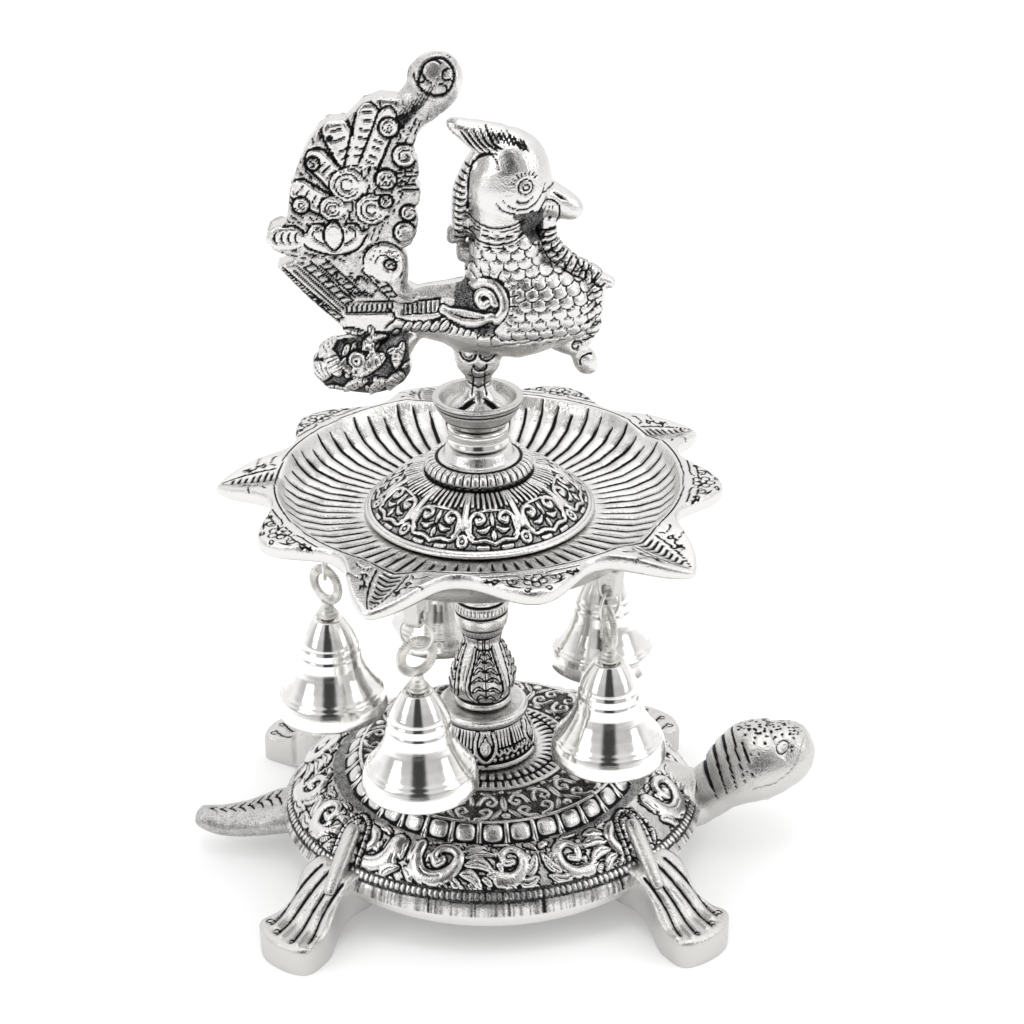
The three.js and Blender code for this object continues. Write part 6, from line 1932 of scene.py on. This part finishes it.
@dataclass
class Bell:
    """One hanging bell with its wire ring, milled eye and clapper, in the frame of the lug's hole."""

    number: int
    direction: float
    hang_z: float = 105.3
    hang_r: float = 46.1
    ring_r: float = 5.0
    wire_r: float = 0.5
    ring_z: float = -5.5
    eye_z: float = -12.9
    eye_r: float = 6.4
    eye_hole_r: float = 3.4
    eye_t: float = 1.8
    eye_twist: float = 50.0
    crown_z: float = -23.9
    neck_h: float = 4.6
    height: float = 31.4
    mouth_r: float = 17.0
    waist_r: float = 8.8
    wall: float = 1.2
    crown_r: float = 4.6
    crown_t: float = 1.6
    shank_r: float = 1.5
    clapper_z: float = -30.2
    clapper_length: float = 18.5
    ball_r: float = 3.2

    def build(self, place: Place) -> None:
        """Builds the bell's pieces."""
        turn = math.radians(self.direction)
        at = (place.axis.x + self.hang_r * math.cos(turn), place.axis.y + self.hang_r * math.sin(turn), self.hang_z)
        i = self.number
        wire = self.hoop(self.ring_r, self.wire_r)
        wire.mesh.transform(Matrix.Rotation(math.pi / 2, 4, "Y"))
        self.set_down(wire.move((0, 0, self.ring_z)), at)
        wire.finish(f"wire_ring_{i}", f"link_{i}", Finish.WIRE, "ring_wire", [f"jump_ring_{i}"])
        eye = self.eye()
        self.set_down(eye, at)
        eye.finish(f"milled_eye_{i}", f"bell_body_{i}", Finish.MILLED, "bell_eye", [f"bell_eye_{i}"])
        shell = self.shell()
        self.set_down(shell, at)
        shell.finish(f"turned_bell_{i}", f"bell_body_{i}", Finish.BELL, "bell_shell", [f"bell_{i}"])
        clapper = self.clapper()
        self.set_down(clapper, at)
        clapper.finish(f"clapper_wire_{i}", f"clapper_body_{i}", Finish.STEEL, "clapper", [f"clapper_{i}"])

    def set_down(self, body: Body, at: Sequence[float]) -> None:
        """Turns a piece to the bell's direction and puts it in its place."""
        body.turn(self.direction).move(at)

    @staticmethod
    def hoop(radius: float, wire: float, steps: int = 72, sides: int = 14) -> Body:
        """Returns a ring of round wire about the Z axis."""
        around = np.arange(sides) / sides * TAU
        corners = [(radius + wire * math.cos(a), wire * math.sin(a)) for a in around]
        return lathe(Outline(corners, [9] * sides, 0), steps)

    def eye(self) -> Body:
        """Returns the milled flat ring with its neck, its shank and the drilled tab under it."""
        o, h, t = self.eye_r, self.eye_hole_r, self.eye_t / 2
        rim = [(h, -t + 0.4), (h + 0.4, -t), (o - 0.4, -t), (o, -t + 0.4), (o, t - 0.4), (o - 0.4, t), (h + 0.4, t),
               (h, t - 0.4)]
        flat = lathe(Outline(rim, [0.3] * 8, 0.8), 300)
        p = flat.points
        angle = np.degrees(np.arctan2(p[:, 1], p[:, 0]))
        r = np.hypot(p[:, 0], p[:, 1])
        notch = np.cos(np.radians(angle * 360 / 7.5)) * np.where(r > h + 0.5, 1, 0.2)
        out = flat.normals
        flat.points = p + out * (0.16 * notch - 0.1)[:, None]
        bright = np.clip(0.75 + 0.35 * notch, 0, 1)
        flat.mesh.transform(Matrix.Rotation(math.radians(90 + self.eye_twist), 4, "Z") @ Matrix.Rotation(math.pi / 2,
                                                                                                         4, "X"))
        flat.move((0, 0, self.eye_z))
        low = self.crown_z + 0.3
        top = self.crown_z + self.neck_h + 0.8
        neck = lathe(Outline([(0, low), (3.4, low), (3.4, low + 1.1), (2.6, low + 1.5), (2.7, low + 2.0),
                              (2.0, low + 2.5),
                              (2.1, low + 3.1), (1.7, low + 3.5), (1.7, top), (0, top)],
                             [2] + [0.25] * 8 + [2], 0.7), 60)
        foot = self.crown_z - 4.7
        shank = lathe(Outline([(0, foot), (self.shank_r, foot), (self.shank_r, low + 0.4), (0, low + 0.4)],
                              [2, 2, 2, 2], 0), 28)
        tab = self.tab(self.crown_z - 4.1)
        whole = joined([flat, neck, shank, tab])
        whole.bright[: len(bright)] = bright
        return whole

    def tab(self, top: float) -> Body:
        """Returns the drilled tab that the clapper hangs on."""
        bm = bmesh.new()
        wide, high, hole_r, hole_z = self.shank_r + 0.3, 3.6, 0.9, -1.9
        rim = [(-wide, 0), (-wide, -high + 0.8), (-wide + 0.8, -high), (wide - 0.8, -high), (wide, -high + 0.8),
               (wide, 0)]
        hole = [(hole_r * math.cos(a), hole_z + hole_r * math.sin(a)) for a in np.linspace(0, TAU, 17)[:-1]]
        loops = []
        for line in (rim, hole):
            verts = [bm.verts.new((-0.6, y, z + top)) for y, z in line]
            loops += [bm.edges.new((a, b)) for a, b in zip(verts, verts[1:] + verts[:1])]
        bmesh.ops.triangle_fill(bm, edges=loops, use_beauty=True)
        made = bmesh.ops.extrude_face_region(bm, geom=bm.faces[:])
        bmesh.ops.translate(bm, vec=(1.2, 0, 0), verts=[v for v in made["geom"] if isinstance(v, bmesh.types.BMVert)])
        return as_body(bm)

    def shell(self) -> Body:
        """Returns the turned bell, with the lines that the lathe cut."""
        m, w, h, wall = self.mouth_r, self.waist_r, self.height, self.wall
        bore = self.shank_r + 0.3
        outer = [(m - 0.3, 0.1), (m, 0.6), (m, 2.1), (m - 0.4, 4.4), (m - 1.1, 6.5), (m - 1.7, 6.9), (m - 1.9, 7.4),
                 (m - 2.7, 8.2), (m - 4.5, 10.8), (w + 2.1, 13.8), (w + 1.2, 16.4), (w + 0.7, 19.6), (w + 0.35, 20.0),
                 (w + 0.3, 22.4), (w - 0.1, 22.8), (w - 0.4, 24.2), (w - 1.8, 27.2), (w - 3.2, 29.6),
                 (self.crown_r + 0.1, 30.9),
                 (self.crown_r - 0.2, h), (self.crown_r - 0.7, h - 0.1)]
        inner = [(self.crown_r - 1.0, h - 0.5), (bore, h - 0.5), (bore, h - self.crown_t),
                 (self.crown_r - 0.6, h - self.crown_t), (w - 0.4 - wall, 22), (w + 1.8 - wall, 13),
                 (m - 2.8 - wall, 7),
                 (m - 0.9, 0.3)]
        spacing = [0.32] * 20 + [0.4, 0.6, 0.8, 0.8, 1.5, 1.5, 1.5, 0.6, 0.3]
        return lathe(Outline(outer + inner, spacing, 1.0), 150).move((0, 0, self.crown_z - h))

    def clapper(self) -> Body:
        """Returns the clapper: a wire loop, a straight wire and a ball."""
        loop_r, wire = 1.8, 0.35
        loop = self.hoop(loop_r, wire, 40, 10)
        loop.mesh.transform(Matrix.Rotation(math.pi / 2, 4, "X"))
        loop.move((0, 0, self.clapper_z - loop_r))
        ball_z = self.clapper_z - self.clapper_length
        top = self.clapper_z - 2 * loop_r + 0.05
        rod = lathe(Outline([(0, ball_z), (0.5, ball_z), (0.5, top), (0, top)], [2, 2, 2, 2], 0), 16)
        bm = bmesh.new()
        bmesh.ops.create_uvsphere(bm, u_segments=40, v_segments=24, radius=self.ball_r,
                                  matrix=Matrix.Translation((0, 0, ball_z)))
        return joined([loop, rod, as_body(bm)])


# Studio

@dataclass
class Studio:
    """The pale floor, the soft light and the camera."""

    eye: tuple[float, float, float] = (-0.0052, -0.61715, 0.42884)
    ahead: tuple[float, float, float] = (0.01368, 0.89116, -0.45349)
    up: tuple[float, float, float] = (0.01771, 0.45325, 0.89121)
    focal_px: float = 2357.264
    sensor: float = 36.0
    frame_px: float = 1024.0
    floor_glow: float = 0.16

    def build(self) -> None:
        """Builds the studio."""
        self.floor()
        self.world()
        self.lamps()
        self.camera()

    def camera(self) -> None:
        """Sets the camera to the photographed view."""
        data = bpy.data.cameras.new("camera")
        data.sensor_width = self.sensor
        data.lens = self.focal_px / self.frame_px * self.sensor
        data.clip_start, data.clip_end = 0.01, 50
        holder = bpy.data.objects.new("camera", data)
        bpy.context.scene.collection.objects.link(holder)
        ahead, up = Vector(self.ahead), Vector(self.up)
        right = ahead.cross(up)
        matrix = Matrix((right, up, -ahead)).transposed().to_4x4()
        matrix.translation = Vector(self.eye)
        holder.matrix_world = matrix
        bpy.context.scene.camera = holder

    def floor(self) -> None:
        """Lays a white floor that keeps a soft shadow."""
        bm = bmesh.new()
        bmesh.ops.create_grid(bm, x_segments=1, y_segments=1, size=6.0)
        mesh = bpy.data.meshes.new("floor")
        bm.to_mesh(mesh)
        bm.free()
        holder = bpy.data.objects.new("floor", mesh)
        bpy.context.scene.collection.objects.link(holder)
        g = Graph("floor_white")
        seen = g.path("Is Camera Ray") + g.path("Is Glossy Ray") + g.path("Is Transmission Ray")
        glow = g.node("Emission", {"Color": (1.0, 1.0, 1.0, 1.0), "Strength": seen * self.floor_glow})
        cloth = g.node("BsdfDiffuse", {"Color": (0.88, 0.88, 0.88, 1.0)})
        both = g.node("AddShader")
        g.tree.links.new(cloth.outputs[0], both.inputs[0])
        g.tree.links.new(glow.outputs[0], both.inputs[1])
        g.tree.links.new(both.outputs[0], g.node("OutputMaterial").inputs[0])
        mesh.materials.append(g.material)

    def world(self) -> None:
        """Surrounds the lamp with a white room; metal also shows the dark opening that it is seen through."""
        g = Graph("room", world=True)
        parts = g.node("SeparateXYZ", {0: g.place()})
        x, y, z = (Value(g, parts.outputs[i]) for i in range(3))
        aside = (g.maths("ABSOLUTE", x + 0.03, 0.0) + y * 0.3 + z.rise(0.66, 1.0) * 0.11).rise(-0.03, 0.09)
        behind = y.rise(-0.15, 0.25)
        high = z.rise(0.15, 0.95)
        room = aside * (behind * 0.45 + high * 0.3 + 0.5) + 0.05
        metal = g.path("Is Glossy Ray")
        level = metal * (room - 1.0) + 1.0
        light = g.node("Background", {"Color": (1.0, 1.0, 1.0, 1.0), "Strength": level})
        g.tree.links.new(light.outputs[0], g.node("OutputWorld").inputs[0])
        bpy.context.scene.world = g.material

    def lamps(self) -> None:
        """Hangs soft boxes to the left, right and above."""
        for name, at, wide, tall, watts in (
            ("soft_left", (-1.0, -0.55, 0.75), 0.5, 0.9, 2.6),
            ("soft_right", (1.05, -0.35, 0.7), 0.4, 0.9, 2.2),
            ("soft_top", (0.05, -0.1, 1.35), 0.8, 0.6, 2.4),
        ):
            data = bpy.data.lights.new(name, "AREA")
            data.shape = "RECTANGLE"
            data.size, data.size_y, data.energy = wide, tall, watts
            holder = bpy.data.objects.new(name, data)
            bpy.context.scene.collection.objects.link(holder)
            holder.location = at
            holder.rotation_euler = (Vector((0, 0, 0.13)) - Vector(at)).to_track_quat("-Z", "Y").to_euler()


def plain_steel() -> None:
    """Gives the hidden fixings their finish."""
    names = ["base_washer", "base_nut", "threaded_rod"] + [f"bell_nut_{i}" for i in range(1, 6)]
    for name in names:
        data = frame["nodes"][name].data
        data.materials.clear()
        data.materials.append(Finish.STEEL.material())


def main() -> None:
    """Builds the lamp from its foot up, then the studio."""
    logging.basicConfig(level=logging.INFO, format="%(message)s")
    bpy.context.scene.view_settings.view_transform = "Standard"
    place = Place()
    tray = Tray()
    parts = [Tortoise(), LotusDrum(), Stem(), tray, Dome(), NeckSpool(), Peacock()]
    parts += [Bell(i + 1, tray.lip_turn + 72 * i + turn) for i, turn in enumerate(tray.lug_turns)]
    for part in parts:
        part.build(place)
        log.info("%s is in place", type(part).__name__)
    plain_steel()
    Studio().build()


if __name__ == "__main__":
    main()
